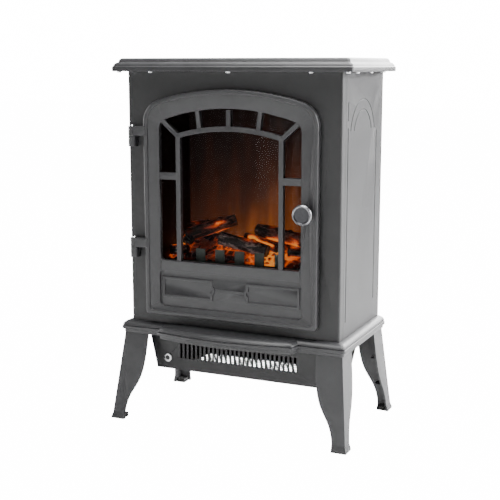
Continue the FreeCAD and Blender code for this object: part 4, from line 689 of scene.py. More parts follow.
def dress(piece: bpy.types.Object, finish: Finish) -> None:
    """Gives a piece its finish, in place of any it had.

    Args:
        piece: The piece.
        finish: The finish, made once and shared by every piece that has it.
    """
    if finish.name not in _made:
        _made[finish.name] = finish.material()
    piece.data.materials.clear()
    piece.data.materials.append(_made[finish.name])


MOULDING = SatinSkin("charcoal_satin", (0.02, 0.02, 0.0215), 0.42)
POWDER = SatinSkin("charcoal_powder", (0.011, 0.011, 0.012), 0.5, 1500.0, 0.00015)
# The sides' powder coat, darkened for the front panel as painted shade under the top's overhang.
POWDER_PAINTED_SHADE = SatinSkin("charcoal_powder_painted_shade", (0.0075, 0.0075, 0.0082), 0.52, 1500.0, 0.00015)
LINING = SatinSkin("lining_black", (0.008, 0.008, 0.008), 0.62, 900.0, 0.0001, 0.2, 0.02)
IRON = SatinSkin("grate_iron_grey", (0.15, 0.17, 0.145), 0.6, 800.0, 0.0002, 0.2)
RUBBER = SatinSkin("black_rubber", (0.014, 0.014, 0.014), 0.75, 600.0, 0.0002, 0.25, 0.08)
NYLON = SatinSkin("black_nylon", (0.02, 0.02, 0.02), 0.5, 900.0, 0.0001, 0.2, 0.04)
GLOSS_BLACK = SatinSkin("gloss_black", (0.011, 0.011, 0.012), 0.2, 500.0, 0.00002, 0.2)
TRAY_COAT = SatinSkin("tray_coat_black", (0.016, 0.016, 0.017), 0.45, 1300.0)
WHITE_NYLON = SatinSkin("white_nylon", (0.62, 0.61, 0.56), 0.45, 500.0, 0.00005, 0.08)
CERAMIC = SatinSkin("cutout_ceramic_glaze", (0.48, 0.44, 0.36), 0.3, 400.0, 0.00005, 0.1)
PAINT_MARK = SatinSkin("pale_mark_paint", (0.55, 0.55, 0.53), 0.5, 900.0, 0.00003, 0.06)
ZINC_SHEET = Spangle("dipped_zinc", (0.6, 0.61, 0.62))
ZINC = Metal("bright_zinc", (0.78, 0.78, 0.79), 0.26, Axis.X, 0.2)
STEEL = Metal("plated_steel", (0.52, 0.52, 0.54), 0.34, Axis.X)
BRONZE = Metal("sintered_bronze", (0.5, 0.33, 0.14), 0.5, Axis.X, 0.3)
ALUMINIUM = Metal("bright_aluminium", (0.82, 0.82, 0.84), 0.2, Axis.Z, 0.12)
GLASS = Pane("door_glass", (0.93, 0.94, 0.94))
WOOD = CharredWood("charred_wood", (0.16, 0.075, 0.055), (0.014, 0.008, 0.007))
# A paler bark, given to the front log.
GREY_WOOD = CharredWood("pale_bark_wood", (0.26, 0.17, 0.15), (0.03, 0.014, 0.012))
EMBERS = EmberBed("ember_bed_resin", (0.2, 0.06, 0.03), (0.012, 0.011, 0.011))


# ---------------------------------------------------------------- mesh helpers
def box_of(node: str) -> tuple[Vector, Vector]:
    """A node's lowest and highest corners, in metres."""
    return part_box(node)


def merged(node: str, join: bool = True) -> bmesh.types.BMesh:
    """A welded copy of a node's mesh.

    Args:
        node: The CAD node.
        join: Whether its flat faces are joined; faces with many holes aren't.

    Returns:
        The copy.
    """
    shape = bmesh.new()
    shape.from_mesh(frame["nodes"][node].data)
    bmesh.ops.remove_doubles(shape, verts=shape.verts, dist=1e-6)
    if join:
        flat = math.radians(0.4)
        bmesh.ops.dissolve_limit(shape, angle_limit=flat, verts=shape.verts, edges=shape.edges)
    return shape


def islands(node: str) -> list[tuple[Vector, Vector]]:
    """The box of each loose part of a node.

    Args:
        node: The CAD node.

    Returns:
        Each part's lowest and highest corners.
    """
    shape = merged(node)
    left = set(shape.verts)
    boxes = []
    while left:
        group = []
        edge_of_group = [left.pop()]
        while edge_of_group:
            vert = edge_of_group.pop()
            group.append(vert.co.copy())
            for edge in vert.link_edges:
                other = edge.other_vert(vert)
                if other in left:
                    left.remove(other)
                    edge_of_group.append(other)
        low = Vector([min(point[i] for point in group) for i in range(3)])
        high = Vector([max(point[i] for point in group) for i in range(3)])
        boxes.append((low, high))
    shape.free()
    return sorted(boxes, key=lambda box: tuple(box[0]))


def as_piece(shape: bmesh.types.BMesh, name: str, body: str, finish: Finish,
             stands_for: Iterable[str] = (), crease: float = 30.0) -> bpy.types.Object:
    """Makes a finished piece of a bmesh.

    Args:
        shape: The piece's mesh, in place; it is freed.
        name: The piece's name.
        body: The CAD body it rides on.
        finish: Its finish.
        stands_for: The CAD nodes that it replaces.
        crease: Edges sharper than this many degrees stay sharp.

    Returns:
        The piece.
    """
    mesh = bpy.data.meshes.new(name)
    for face in shape.faces:
        face.smooth = True
    shape.to_mesh(mesh)
    shape.free()
    mesh.set_sharp_from_angle(angle=math.radians(crease))
    piece = bpy.data.objects.new(name, mesh)
    bpy.context.scene.collection.objects.link(piece)
    dress(piece, finish)
    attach(piece, body)
    if stands_for:
        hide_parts(*stands_for)
    LOG.info("%s: %d faces on %s", name, len(mesh.polygons), body)
    return piece


def soften(node: str, finish: Finish, width: float, segments: int = 2, crease: float = 30.0,
           join: bool = True) -> bpy.types.Object:
    """Stands a copy of a node with rounded edges in its place.

    Args:
        node: The CAD node.
        finish: Its finish.
        width: The rounding's width in metres.
        segments: The rounding's steps.
        crease: Edges sharper than this many degrees are rounded.
        join: Whether its flat faces are joined first.

    Returns:
        The piece.
    """
    piece = as_piece(merged(node, join), node + "_body", BODY_OF[node], finish, [node], crease)
    rounded(piece, width, segments, crease)
    return piece


def rounded(piece: bpy.types.Object, width: float, segments: int, crease: float) -> None:
    """Rounds a piece's edges.

    Args:
        piece: The piece.
        width: The rounding's width in metres.
        segments: The rounding's steps.
        crease: Edges sharper than this many degrees are rounded.
    """
    rounding = piece.modifiers.new("rounded_edges", "BEVEL")
    rounding.width = width
    rounding.segments = segments
    rounding.limit_method = "ANGLE"
    rounding.angle_limit = math.radians(crease)
    rounding.use_clamp_overlap = False
    rounding.harden_normals = True
    rounding.miter_outer = "MITER_ARC"


def keep(finish: Finish, *nodes: str) -> None:
    """Dresses CAD nodes whose shape is already right.

    Args:
        finish: Their finish.
        nodes: The CAD nodes.
    """
    for node in nodes:
        dress(frame["nodes"][node], finish)
        LOG.info("%s: kept, in %s", node, finish.name)


def turned_towards(direction: Vector) -> Matrix:
    """The turn that takes +Z to a direction."""
    return direction.to_track_quat("Z", "Y").to_matrix().to_4x4()


def add_box(shape: bmesh.types.BMesh, low: Vector, high: Vector) -> list[bmesh.types.BMVert]:
    """Adds a box to a bmesh.

    Args:
        shape: The bmesh.
        low: The box's lowest corner.
        high: Its highest corner.

    Returns:
        The box's vertices.
    """
    size = high - low
    place = Matrix.Translation((low + high) / 2) @ Matrix.Diagonal((*size, 1.0))
    return bmesh.ops.create_cube(shape, size=1.0, matrix=place)["verts"]


def remeshed(node: str, voxel: float) -> bmesh.types.BMesh:
    """A node's shape as an even skin of small faces.

    Args:
        node: The CAD node.
        voxel: The faces' size in metres.

    Returns:
        The skin.
    """
    source = merged(node)
    mesh = bpy.data.meshes.new("remesh_source")
    source.to_mesh(mesh)
    source.free()
    blank = bpy.data.objects.new("remesh_source", mesh)
    bpy.context.scene.collection.objects.link(blank)
    cover = blank.modifiers.new("skin", "REMESH")
    cover.mode = "VOXEL"
    cover.voxel_size = voxel
    graph = bpy.context.evaluated_depsgraph_get()
    skin = bpy.data.meshes.new_from_object(blank.evaluated_get(graph))
    shape = bmesh.new()
    shape.from_mesh(skin)
    bpy.data.objects.remove(blank)
    bpy.data.meshes.remove(mesh)
    bpy.data.meshes.remove(skin)
    return shape


def number_layers(shape: bmesh.types.BMesh, *names: str) -> list:
    """Adds a number to every vertex for each name.

    Args:
        shape: The bmesh.
        names: The numbers' names, as the finishes read them.

    Returns:
        The layers, in the names' order.
    """
    for name in names:
        shape.verts.layers.float.new(name)
    return [shape.verts.layers.float[name] for name in names]


# ---------------------------------------------------------------- screws
@dataclass
class Screw:
    """A pan-head screw.

    Attributes:
        head_radius: The head's radius.
        head: The head's height.
        shank_radius: The shank's radius.
        length: The shank's length under the head.
        sunk: What is sunk into the head.
        taper: The shank's narrow end, as a share of its radius.
        crown: The rounding of the head's rim, as a share of its height.
        cross: The cross's reach and half width, as shares of the head's radius.
        cross_depth: The cross's depth, as a share of the head's height.
        ring: The width of the ring round a dish and of the dish's wall, as shares of the head's radius.
        dish_depth: The dish's depth, as a share of the head's height.
    """

    head_radius: float
    head: float
    shank_radius: float
    length: float
    sunk: Head = Head.CROSS
    taper: float = 0.55
    crown: float = 0.45
    cross: tuple[float, float] = (0.5, 0.12)
    cross_depth: float = 0.55
    ring: tuple[float, float] = (0.28, 0.06)
    dish_depth: float = 0.5

    def add_to(self, shape: bmesh.types.BMesh, seat: Vector, inward: Vector) -> None:
        """Adds the screw to a bmesh.

        Args:
            shape: The bmesh.
            seat: Where the head's underside sits.
            inward: The direction that the shank runs.
        """
        single = bmesh.new()
        self._head(single)
        shank = Matrix.Translation((0, 0, -self.length / 2))
        bmesh.ops.create_cone(single, cap_ends=True, segments=16, radius1=self.shank_radius * self.taper,
                              radius2=self.shank_radius, depth=self.length, matrix=shank)
        single.transform(Matrix.Translation(seat) @ turned_towards(-inward))
        mesh = bpy.data.meshes.new("screw_part")
        single.to_mesh(mesh)
        single.free()
        shape.from_mesh(mesh)
        bpy.data.meshes.remove(mesh)

    def _head(self, shape: bmesh.types.BMesh) -> None:
        """Adds the head, standing on the plane z = 0.

        Args:
            shape: The bmesh.
        """
        middle = Matrix.Translation((0, 0, self.head / 2))
        bmesh.ops.create_cone(shape, cap_ends=True, segments=32, radius1=self.head_radius,
                              radius2=self.head_radius, depth=self.head, matrix=middle)
        rim = [edge for edge in shape.edges if all(v.co.z > self.head * 0.9 for v in edge.verts)]
        bmesh.ops.bevel(shape, geom=rim, offset=self.head * self.crown, offset_type="OFFSET", segments=3,
                        profile=0.5, affect="EDGES", material=-1)
        if self.sunk is Head.CROSS:
            self._cross(shape)
        else:
            self._dish(shape)

    def _top(self, shape: bmesh.types.BMesh) -> list[bmesh.types.BMFace]:
        """The faces of the head's flat top."""
        return [face for face in shape.faces if face.calc_center_median().z > self.head * 0.999]

    def _cross(self, shape: bmesh.types.BMesh) -> None:
        """Sinks a cross recess into the head.

        Args:
            shape: The bmesh with the head.
        """
        arm, half = (self.head_radius * share for share in self.cross)
        for place in (-arm, -half, half, arm):
            for axis in (Vector((1, 0, 0)), Vector((0, 1, 0))):
                top = self._top(shape)
                geometry = top + [e for f in top for e in f.edges] + [v for f in top for v in f.verts]
                bmesh.ops.bisect_plane(shape, geom=list(set(geometry)), dist=1e-7, plane_co=axis * place,
                                       plane_no=axis)
        arms = []
        for face in self._top(shape):
            middle = face.calc_center_median()
            across, along = sorted((abs(middle.x), abs(middle.y)))
            if across < half and along < arm:
                arms.append(face)
        pushed = bmesh.ops.extrude_face_region(shape, geom=arms)
        bmesh.ops.delete(shape, geom=arms, context="FACES")
        lowered = [item for item in pushed["geom"] if isinstance(item, bmesh.types.BMVert)]
        bmesh.ops.translate(shape, verts=lowered, vec=(0, 0, -self.head * self.cross_depth))

    def _dish(self, shape: bmesh.types.BMesh) -> None:
        """Sinks a shallow round dish into the head, which leaves a raised ring.

        Args:
            shape: The bmesh with the head.
        """
        rim, wall = (self.head_radius * share for share in self.ring)
        bmesh.ops.inset_region(shape, faces=self._top(shape), thickness=rim, depth=0.0)
        inner = [face for face in self._top(shape) if len(face.verts) > 4]
        bmesh.ops.inset_region(shape, faces=inner, thickness=wall, depth=-self.head * self.dish_depth)


def screw_set(node: str, inward: Vector, screw: Screw) -> bpy.types.Object:
    """Stands detailed screws where a node's plain ones are.

    Args:
        node: The CAD node, one loose part for each screw.
        inward: The direction that the shanks run.
        screw: The screw.

    Returns:
        The set as one piece.
    """
    shape = bmesh.new()
    for low, high in islands(node):
        middle = (low + high) / 2
        reach = Vector([abs(inward[i]) * (high[i] - low[i]) / 2 for i in range(3)]).length
        seat = middle - inward * (reach - screw.head)
        screw.add_to(shape, seat, inward)
    return as_piece(shape, node + "_set", BODY_OF[node], ZINC, [node])


PAN_HEAD = (3.6 * MM, 2.0 * MM)


# ---------------------------------------------------------------- sub-assemblies
@dataclass
class Cabinet:
    """The top, the base, the four panels and their screws.

    Attributes:
        edge: The rounding of the thick mouldings' edges.
        fold: The rounding of the sheet panels' edges.
    """

    edge: float = 0.6 * MM
    fold: float = 0.3 * MM

    def build(self) -> None:
        """Makes and dresses every piece."""
        soften("top_plate", MOULDING, self.edge)
        soften("base_plate", MOULDING, self.edge)
        # The front panel wears the powder coat darkened with painted shade.
        soften("front_panel", POWDER_PAINTED_SHADE, self.fold, join=False)
        soften("left_side_panel", POWDER, self.fold)
        soften("right_side_panel", POWDER, self.fold)
        soften("back_panel", POWDER, self.fold, join=False)
        keep(ZINC_SHEET, "top_underplate")
        screw_set("top_screws", Vector((0, 0, 1)), Screw(*PAN_HEAD, 1.6 * MM, 8.0 * MM))
        screw_set("back_panel_screws", Vector((0, -1, 0)), Screw(*PAN_HEAD, 1.6 * MM, 1.7 * MM))


@dataclass
class Legs:
    """The four cast legs, their screws and their pads.

    Attributes:
        edge: The rounding of the legs' edges.
    """

    edge: float = 0.5 * MM

    def build(self) -> None:
        """Makes and dresses every piece."""
        for end in ("front", "rear"):
            for side in ("left", "right"):
                soften(f"leg_{end}_{side}", MOULDING, self.edge, 3)
        soften("foot_pads", RUBBER, self.edge)
        screw_set("leg_screws", Vector((0, 0, 1)), Screw(*PAN_HEAD, 1.9 * MM, 14.0 * MM))


@dataclass
class Door:
    """The arched door with its knob, catch and hinges.

    Attributes:
        edge: The rounding of the door's edges.
        plate: The frame's thickness behind its face.
        sill_chamfer: The chamfer along the window's sill.
        ledge_chamfer: The chamfer along the recess's foot.
        sill_foot: A height between that recess and the window.
        crease: Edges of the frame sharper than this many degrees are rounded.
        knob_rim: The width of the knob's polished rim.
    """

    edge: float = 0.5 * MM
    plate: float = 8.6 * MM
    sill_chamfer: float = 4.2 * MM
    ledge_chamfer: float = 1.8 * MM
    sill_foot: float = 0.255
    crease: float = 28.0
    # knob_rim: The width of the knob's polished rim, which carries a painted highlight.
    knob_rim: float = 3.2 * MM

    def build(self) -> None:
        """Makes and dresses every piece."""
        self.build_frame()
        soften("hinge_brackets", MOULDING, self.edge, 3)
        self.build_knob()
        keep(ZINC, "hinge_pins")
        keep(ZINC_SHEET, "door_strike")
        soften("magnet_catch", STEEL, 0.3 * MM)
        screw_set("knob_screw", Vector((0, -1, 0)), Screw(*PAN_HEAD, 2.0 * MM, 14.6 * MM))

    def build_frame(self) -> None:
        """Makes the frame, with chamfers along its sill and its recess."""
        node = "door_frame"
        shape = merged(node, join=False)
        face = box_of(node)[1].y - self.plate
        for foot, width in ((self.sill_foot, self.sill_chamfer), (0.0, self.ledge_chamfer)):
            shape.normal_update()
            edges = [edge for edge in shape.edges if self._is_ledge(edge, face, foot)]
            bmesh.ops.bevel(shape, geom=edges, offset=width, offset_type="OFFSET", segments=2, profile=0.5,
                            affect="EDGES", material=-1, clamp_overlap=True)
        piece = as_piece(shape, node + "_body", BODY_OF[node], MOULDING, [node], self.crease)
        rounded(piece, self.edge, 2, self.crease)

    @staticmethod
    def _is_ledge(edge: bmesh.types.BMEdge, level: float, foot: float) -> bool:
        """Whether an edge stands out where a front face meets one that faces up.

        Args:
            edge: The edge.
            level: The front face's place along Y.
            foot: The height that the edge has to be above.

        Returns:
            Whether it does.
        """
        first, last = edge.verts
        if len(edge.link_faces) != 2 or not edge.is_convex or first.co.z <= foot:
            return False
        if abs(first.co.y - last.co.y) >= SNAP or abs(first.co.y - level) >= SNAP:
            return False
        normals = [face.normal for face in edge.link_faces]
        flat = any(normal.y < -0.99 for normal in normals)
        rising = any(normal.z > 0.3 and abs(normal.y) < 0.05 for normal in normals)
        return flat and rising

    def build_knob(self) -> None:
        """Makes the knob, with painted shade on its dished face and a painted highlight on its rim."""
        low, high = box_of("door_knob")
        middle = (low + high) / 2
        face = (high.x - low.x) / 2 - self.knob_rim
        finish = PewterPaintedLight("knob_pewter_painted_light", (middle.x, middle.z), face)
        soften("door_knob", finish, 0.4 * MM, 3, 34.0)


@dataclass
class Log:
    """One moulded log of the fire.

    Attributes:
        node: The CAD node it stands for.
        seed: Its place in the noise, so that no two logs are alike.
        pale_bark: Whether its bark is pale.
        seams: Glowing seams: the angle round the log from straight up towards the front in degrees,
            the strength, and where along the log it starts and ends, from 0 to 1.
        voxel: The size of its faces.
        bark: How close the bark's ridges are, along the log and across it.
        knots: How close the slow lumps are, along the log and across it.
        sharp: How narrow the ridges are.
        fine: The finer ridges' closeness and strength beside the main ones.
        ridge_relief: How far the ridges stand up.
        knot_relief: How far the lumps stand up.
        crest: The height on a ridge that keeps its place.
        sawn: How square to the log a sawn face is at least, and how fast that counts.
        soot: How strong the soot by the ends is.
        soot_reach: How far the soot reaches in from the ends.
        smoothing: How much smoother the ends are.
        furrow: The lump's height from which its furrows glow, and how strongly they do.
        seam_width: A seam's half width in degrees.
        seam_wander: How far a seam wanders, in degrees.
        seam_fade: The share of the log's length over which a seam fades out.
        hottest: The most heat that a point has.
    """

    node: str
    seed: float
    pale_bark: bool = False
    seams: tuple[tuple[float, float, float, float], ...] = ()
    voxel: float = 1.1 * MM
    bark: tuple[float, float] = (22.0, 130.0)
    knots: tuple[float, float] = (30.0, 45.0)
    sharp: float = 2.6
    fine: tuple[float, float] = (2.1, 0.4)
    ridge_relief: float = 1.5 * MM
    knot_relief: float = 1.6 * MM
    crest: float = 0.6
    sawn: tuple[float, float] = (0.55, 3.0)
    soot: float = 0.7
    soot_reach: float = 5.0 * MM
    smoothing: float = 0.5
    furrow: tuple[float, float] = (0.18, 1.6)
    seam_width: float = 17.0
    seam_wander: float = 25.0
    seam_fade: float = 0.08
    hottest: float = 1.1

    def build(self) -> None:
        """Carves the log and dresses it."""
        shape = remeshed(self.node, self.voxel)
        start, along, length = self._axis(shape)
        up = Vector((0, 0, 1))
        up = (up - along * up.dot(along)).normalized()
        front = along.cross(up)
        if front.y > 0:
            front = -front
        ridge_layer, heat_layer, end_layer = number_layers(shape, "ridge", "warmth", "end")
        shape.normal_update()
        moves = []
        for vert in shape.verts:
            run = (vert.co - start).dot(along)
            out = vert.co - start - along * run
            across = Vector((0.0, out.dot(up), out.dot(front)))
            ridge = self._ridge(Vector((run * self.bark[0] + self.seed, 0.0, 0.0)) + across * self.bark[1])
            lump = noise.noise(Vector((run * self.knots[0] - self.seed, 0.0, 0.0)) + across * self.knots[1])
            share = run / length
            tip = min(share, 1.0 - share) * length
            facing = abs(vert.normal.dot(along))
            cut = max(0.0, min(1.0, (facing - self.sawn[0]) * self.sawn[1]))
            end = min(1.0, cut + max(0.0, 1.0 - tip / self.soot_reach) * self.soot)
            angle = math.degrees(math.atan2(out.dot(front), out.dot(up)))
            vert[ridge_layer] = ridge
            vert[end_layer] = end
            vert[heat_layer] = self._heat(angle, share, ridge, lump)
            depth = (ridge - self.crest) * self.ridge_relief + lump * self.knot_relief
            moves.append((vert, vert.normal * depth * (1.0 - self.smoothing * end)))
        for vert, move in moves:
            vert.co += move
        finish = GREY_WOOD if self.pale_bark else WOOD
        body, slot = BODY_OF[self.node], SLOT_OF[self.node]
        as_piece(shape, self.node + "_carved", body, finish, [self.node], 70.0)

    def _ridge(self, where: Vector) -> float:
        """How far up a ridge of the bark a point is.

        Args:
            where: The point, in the bark's own scale.

        Returns:
            The height, from 0 in a furrow to 1 on a crest.
        """
        closeness, strength = self.fine
        ridge = 1.0 - abs(noise.noise(where)) * self.sharp
        ridge += (1.0 - abs(noise.noise(where * closeness)) * self.sharp) * strength
        return max(0.0, min(1.0, ridge / (1.0 + strength)))

    @staticmethod
    def _axis(shape: bmesh.types.BMesh) -> tuple[Vector, Vector, float]:
        """The log's start, direction and length.

        Args:
            shape: The log's skin.

        Returns:
            A point on the axis at one end, the unit direction and the length.
        """
        points = [vert.co.copy() for vert in shape.verts]
        middle = sum(points, Vector()) / len(points)
        along = Vector((1.0, 0.1, 0.1)).normalized()
        for _ in range(AXIS_ROUNDS):
            pulls = ((point - middle) * (point - middle).dot(along) for point in points)
            along = sum(pulls, Vector()).normalized()
        if along.x < 0:
            along = -along
        runs = [(point - middle).dot(along) for point in points]
        return middle + along * min(runs), along, max(runs) - min(runs)

    def _heat(self, angle: float, share: float, ridge: float, lump: float) -> float:
        """How hot a point of the bark is.

        Args:
            angle: The point's angle round the log, in degrees from straight up.
            share: Where it is along the log, from 0 to 1.
            ridge: How far up a ridge of the bark it is.
            lump: The slow noise there.

        Returns:
            The heat, from 0 for cold upwards.
        """
        level, strength = self.furrow
        heat = max(0.0, lump - level) * (1.0 - ridge) * strength
        for place, power, first, last in self.seams:
            turn = (angle - place + 180.0) % 360.0 - 180.0
            inside = min(share - first, last - share) / self.seam_fade
            line = math.exp(-(((turn + lump * self.seam_wander) / self.seam_width) ** 2))
            heat += power * line * max(0.0, min(1.0, inside)) * (0.75 + lump)
        return min(heat, self.hottest)


@dataclass
class Fire:
    """The firebox: its lining, the grate, the embers, the logs and the lit screen.

    Attributes:
        voxel: The size of the ember bed's faces.
        lump: The size of an ember.
        relief: How far an ember stands up.
        crumb: How far the fine crumbs stand up.
        crumbs: The crumbs for each metre.
        patches: The hotter and colder patches for each metre.
        swell: How fast an ember rises from its edge.
        glow_place: Where the flames are strongest, as a share of the screen's width.
    """

    voxel: float = 1.4 * MM
    lump: float = 11.0 * MM
    relief: float = 3.2 * MM
    crumb: float = 0.8 * MM
    crumbs: float = 260.0
    patches: float = 18.0
    swell: float = 1.6
    glow_place: float = 0.65

    def logs(self) -> list[Log]:
        """The logs of the fire."""
        return [
            Log("log_long", 3.1, seams=(
                (-20.0, 0.9, 0.02, 0.8),
                (160.0, 0.8, 0.1, 0.9),
                (70.0, 0.5, 0.55, 0.85),
            )),
            Log("log_front", 7.7, True, ((150.0, 1.1, 0.05, 0.95), (-40.0, 1.0, 0.1, 0.95))),
            Log("log_right", 12.4, seams=((130.0, 0.9, 0.2, 0.98), (-30.0, 0.6, 0.45, 0.95))),
            Log("log_middle", 18.9, seams=((60.0, 1.0, 0.1, 0.95), (150.0, 1.2, 0.2, 0.98))),
            Log("log_left_stump", 23.3, seams=((160.0, 0.6, 0.1, 0.9),)),
            Log("log_back_left", 29.8),
            Log("log_right_stub", 34.2, seams=((140.0, 1.0, 0.05, 0.95), (-20.0, 0.8, 0.3, 0.95))),
            Log("log_left_stub", 39.5, seams=((20.0, 0.7, 0.1, 0.9),)),
        ]

    def build(self) -> None:
        """Makes and dresses every piece."""
        keep(LINING, "firebox_liner")
        soften("fire_grate", IRON, 0.25 * MM)
        self.build_embers()
        for log in self.logs():
            log.build()
        low, high = box_of("flame_screen")
        bed_top = box_of("ember_bed")[1].z
        middle = low.x + (high.x - low.x) * self.glow_place
        keep(FlameGlow("flame_glow", bed_top, middle), "flame_screen")
        keep(GLASS, "window_glass")
        keep(RUBBER, "glass_gasket")

    def build_embers(self) -> None:
        """Raises the ember bed's lumps and dresses it."""
        shape = remeshed("ember_bed", self.voxel)
        heat_layer, dark_layer = number_layers(shape, "warmth", "dark")
        shape.normal_update()
        moves = []
        for vert in shape.verts:
            distances, centres = noise.voronoi(vert.co / self.lump)
            gap = distances[1] - distances[0]
            dome = min(1.0, gap * self.swell)
            slow = noise.noise(vert.co * self.patches)
            fine = noise.noise(vert.co * self.crumbs)
            tone = noise.cell(centres[0] * 7.0)
            facing = max(0.0, vert.normal.z * 0.7 - vert.normal.y * 0.7)
            vert[dark_layer] = max(0.0, min(1.0, 0.5 + tone * 0.9))
            vert[heat_layer] = max(0.0, (0.85 - dome) * (0.7 + slow * 1.6) - tone * 0.15)
            moves.append((vert, vert.normal * facing * ((dome - 0.5) * self.relief + fine * self.crumb)))
        for vert, move in moves:
            vert.co += move
        node = "ember_bed"
        as_piece(shape, node + "_lumps", BODY_OF[node], EMBERS, [node], 80.0)


@dataclass
class FlameEffect:
    """The works behind the lit screen.

    Attributes:
        board: The lamp board's thickness.
    """

    board: float = 1.6 * MM

    def build(self) -> None:
        """Dresses every piece."""
        keep(ALUMINIUM, "flame_rotor")
        keep(ZINC_SHEET, "rotor_brackets")
        soften("flame_motor", STEEL, 0.4 * MM)
        keep(LampBoard("lamp_board", box_of("led_board")[0].z + self.board), "led_board")


@dataclass
class Controls:
    """The tray behind the door with its three rockers and the heat dial.

    Attributes:
        ticks: How many marks the dial's scale has.
        sweep: The scale's sweep in degrees.
        tick: A mark's width, length and height.
        tray_sheet: The tray's thickness.
        scale_gap: The gap between the dial and its scale.
        bar: Half the width and half the length of a rocker's mark.
        bar_depth: How far a rocker's mark stands out and how far it is let in.
        bar_place: How far the mark is above the rocker's middle and behind its foremost point.
    """

    ticks: int = 11
    sweep: float = 270.0
    tick: tuple[float, float, float] = (0.7 * MM, 2.6 * MM, 0.25 * MM)
    tray_sheet: float = 1.2 * MM
    scale_gap: float = 2.2 * MM
    bar: tuple[float, float] = (0.5 * MM, 1.8 * MM)
    bar_depth: tuple[float, float] = (0.35 * MM, 0.1 * MM)
    bar_place: tuple[float, float] = (5.0 * MM, 0.35 * MM)

    def build(self) -> None:
        """Makes and dresses every piece."""
        soften("control_tray", TRAY_COAT, 0.3 * MM)
        soften("switch_bodies", NYLON, 0.3 * MM)
        soften("thermostat_knob", GLOSS_BLACK, 0.3 * MM)
        soften("thermostat_body", NYLON, 0.4 * MM)
        self.build_scale()
        for node in ("flame_switch", "low_heat_switch", "high_heat_switch"):
            soften(node, GLOSS_BLACK, 0.35 * MM, 3)
            self.build_rocker_mark(node)

    def build_scale(self) -> None:
        """Adds the raised scale round the dial."""
        low, high = box_of("thermostat_knob")
        middle = (low + high) / 2
        wall = box_of("control_tray")[1].y - self.tray_sheet
        radius = (high.x - low.x) / 2 + self.scale_gap
        width, length, height = self.tick
        shape = bmesh.new()
        for index in range(self.ticks):
            turn = math.radians(-self.sweep / 2 + self.sweep * index / (self.ticks - 1))
            mark = add_box(shape, Vector((-width / 2, -height, 0)), Vector((width / 2, 0, length)))
            place = Matrix.Translation((middle.x, wall, middle.z)) @ Matrix.Rotation(turn, 4, "Y")
            bmesh.ops.transform(shape, matrix=place @ Matrix.Translation((0, 0, radius)), verts=mark)
        as_piece(shape, "dial_scale", BODY_OF["control_tray"], PAINT_MARK)

    def build_rocker_mark(self, node: str) -> None:
        """Adds a raised bar to a rocker's upper face.

        Args:
            node: The rocker's CAD node.
        """
        low, high = box_of(node)
        middle = (low + high) / 2
        half, tall = self.bar
        proud, sunk = self.bar_depth
        above, behind = self.bar_place
        place = Vector((middle.x, low.y + behind, middle.z + above))
        shape = bmesh.new()
        add_box(shape, place - Vector((half, proud, tall)), place + Vector((half, sunk, tall)))
        as_piece(shape, node + "_mark", BODY_OF[node], PAINT_MARK)


@dataclass
class FanHeater:
    """The heater under the base: its housing, the fan and the finned element.

    Attributes:
        badge: The front screw's head radius and height.
        cap: The radius of the cap in its dish.
        cap_depth: How far behind the head's front the cap's middle is.
        cap_flatness: The cap's depth as a share of its radius.
    """

    badge: tuple[float, float] = (7.0 * MM, 2.0 * MM)
    cap: float = 4.2 * MM
    cap_depth: float = 1.0 * MM
    cap_flatness: float = 0.18

    def build(self) -> None:
        """Makes and dresses every piece."""
        soften("heater_housing", POWDER, 0.3 * MM, join=False)
        keep(ZINC_SHEET, "heater_grille", "blower_scroll", "element_brackets")
        keep(NYLON, "blower_rotor")
        keep(STEEL, "blower_shaft")
        keep(BRONZE, "blower_bearing")
        soften("blower_motor", STEEL, 0.5 * MM)
        keep(ALUMINIUM, "heating_element")
        keep(CERAMIC, "thermal_cutout")
        screw_set("housing_screws", Vector((0, 1, 0)), Screw(*self.badge, 1.6 * MM, 5.0 * MM, Head.DISH))
        self.build_badge_cap()

    def build_badge_cap(self) -> None:
        """Fills the front screw's dish with a dark domed cap."""
        low, high = box_of("housing_screws")
        middle = (low + high) / 2
        shape = bmesh.new()
        place = Matrix.Translation((middle.x, low.y + self.cap_depth, middle.z))
        flat = Matrix.Diagonal((1.0, self.cap_flatness, 1.0, 1.0))
        bmesh.ops.create_uvsphere(shape, u_segments=32, v_segments=16, radius=self.cap, matrix=place @ flat)
        as_piece(shape, "badge_cap", BODY_OF["housing_screws"], MOULDING)


@dataclass
class CordEntry:
    """The bush low on the back and the terminal strip inside."""

    def build(self) -> None:
        """Makes and dresses every piece."""
        soften("cord_gland", NYLON, 0.4 * MM)
        soften("terminal_block", WHITE_NYLON, 0.4 * MM)


# ---------------------------------------------------------------- studio
def facing(place: Sequence[float], aim: Sequence[float]) -> Euler:
    """The turn that points a lamp or a camera at something.

    Args:
        place: Where it stands.
        aim: What it points at.

    Returns:
        The turn.
    """
    return (Vector(aim) - Vector(place)).to_track_quat("-Z", "Y").to_euler()


@dataclass
class Lamp:
    """A soft square light.

    Attributes:
        name: Its name.
        place: Where it stands.
        aim: What it points at.
        side: The length of its side.
        power: Its power in watts.
    """

    name: str
    place: tuple[float, float, float]
    aim: tuple[float, float, float]
    side: float
    power: float

    def build(self) -> None:
        """Hangs the light."""
        light = bpy.data.lights.new(self.name, "AREA")
        light.shape = "SQUARE"
        light.size = self.side
        light.energy = self.power
        holder = bpy.data.objects.new(self.name, light)
        bpy.context.scene.collection.objects.link(holder)
        holder.location = self.place
        holder.rotation_euler = facing(self.place, self.aim)
        LOG.info("lamp %s: %.0f W", self.name, self.power)


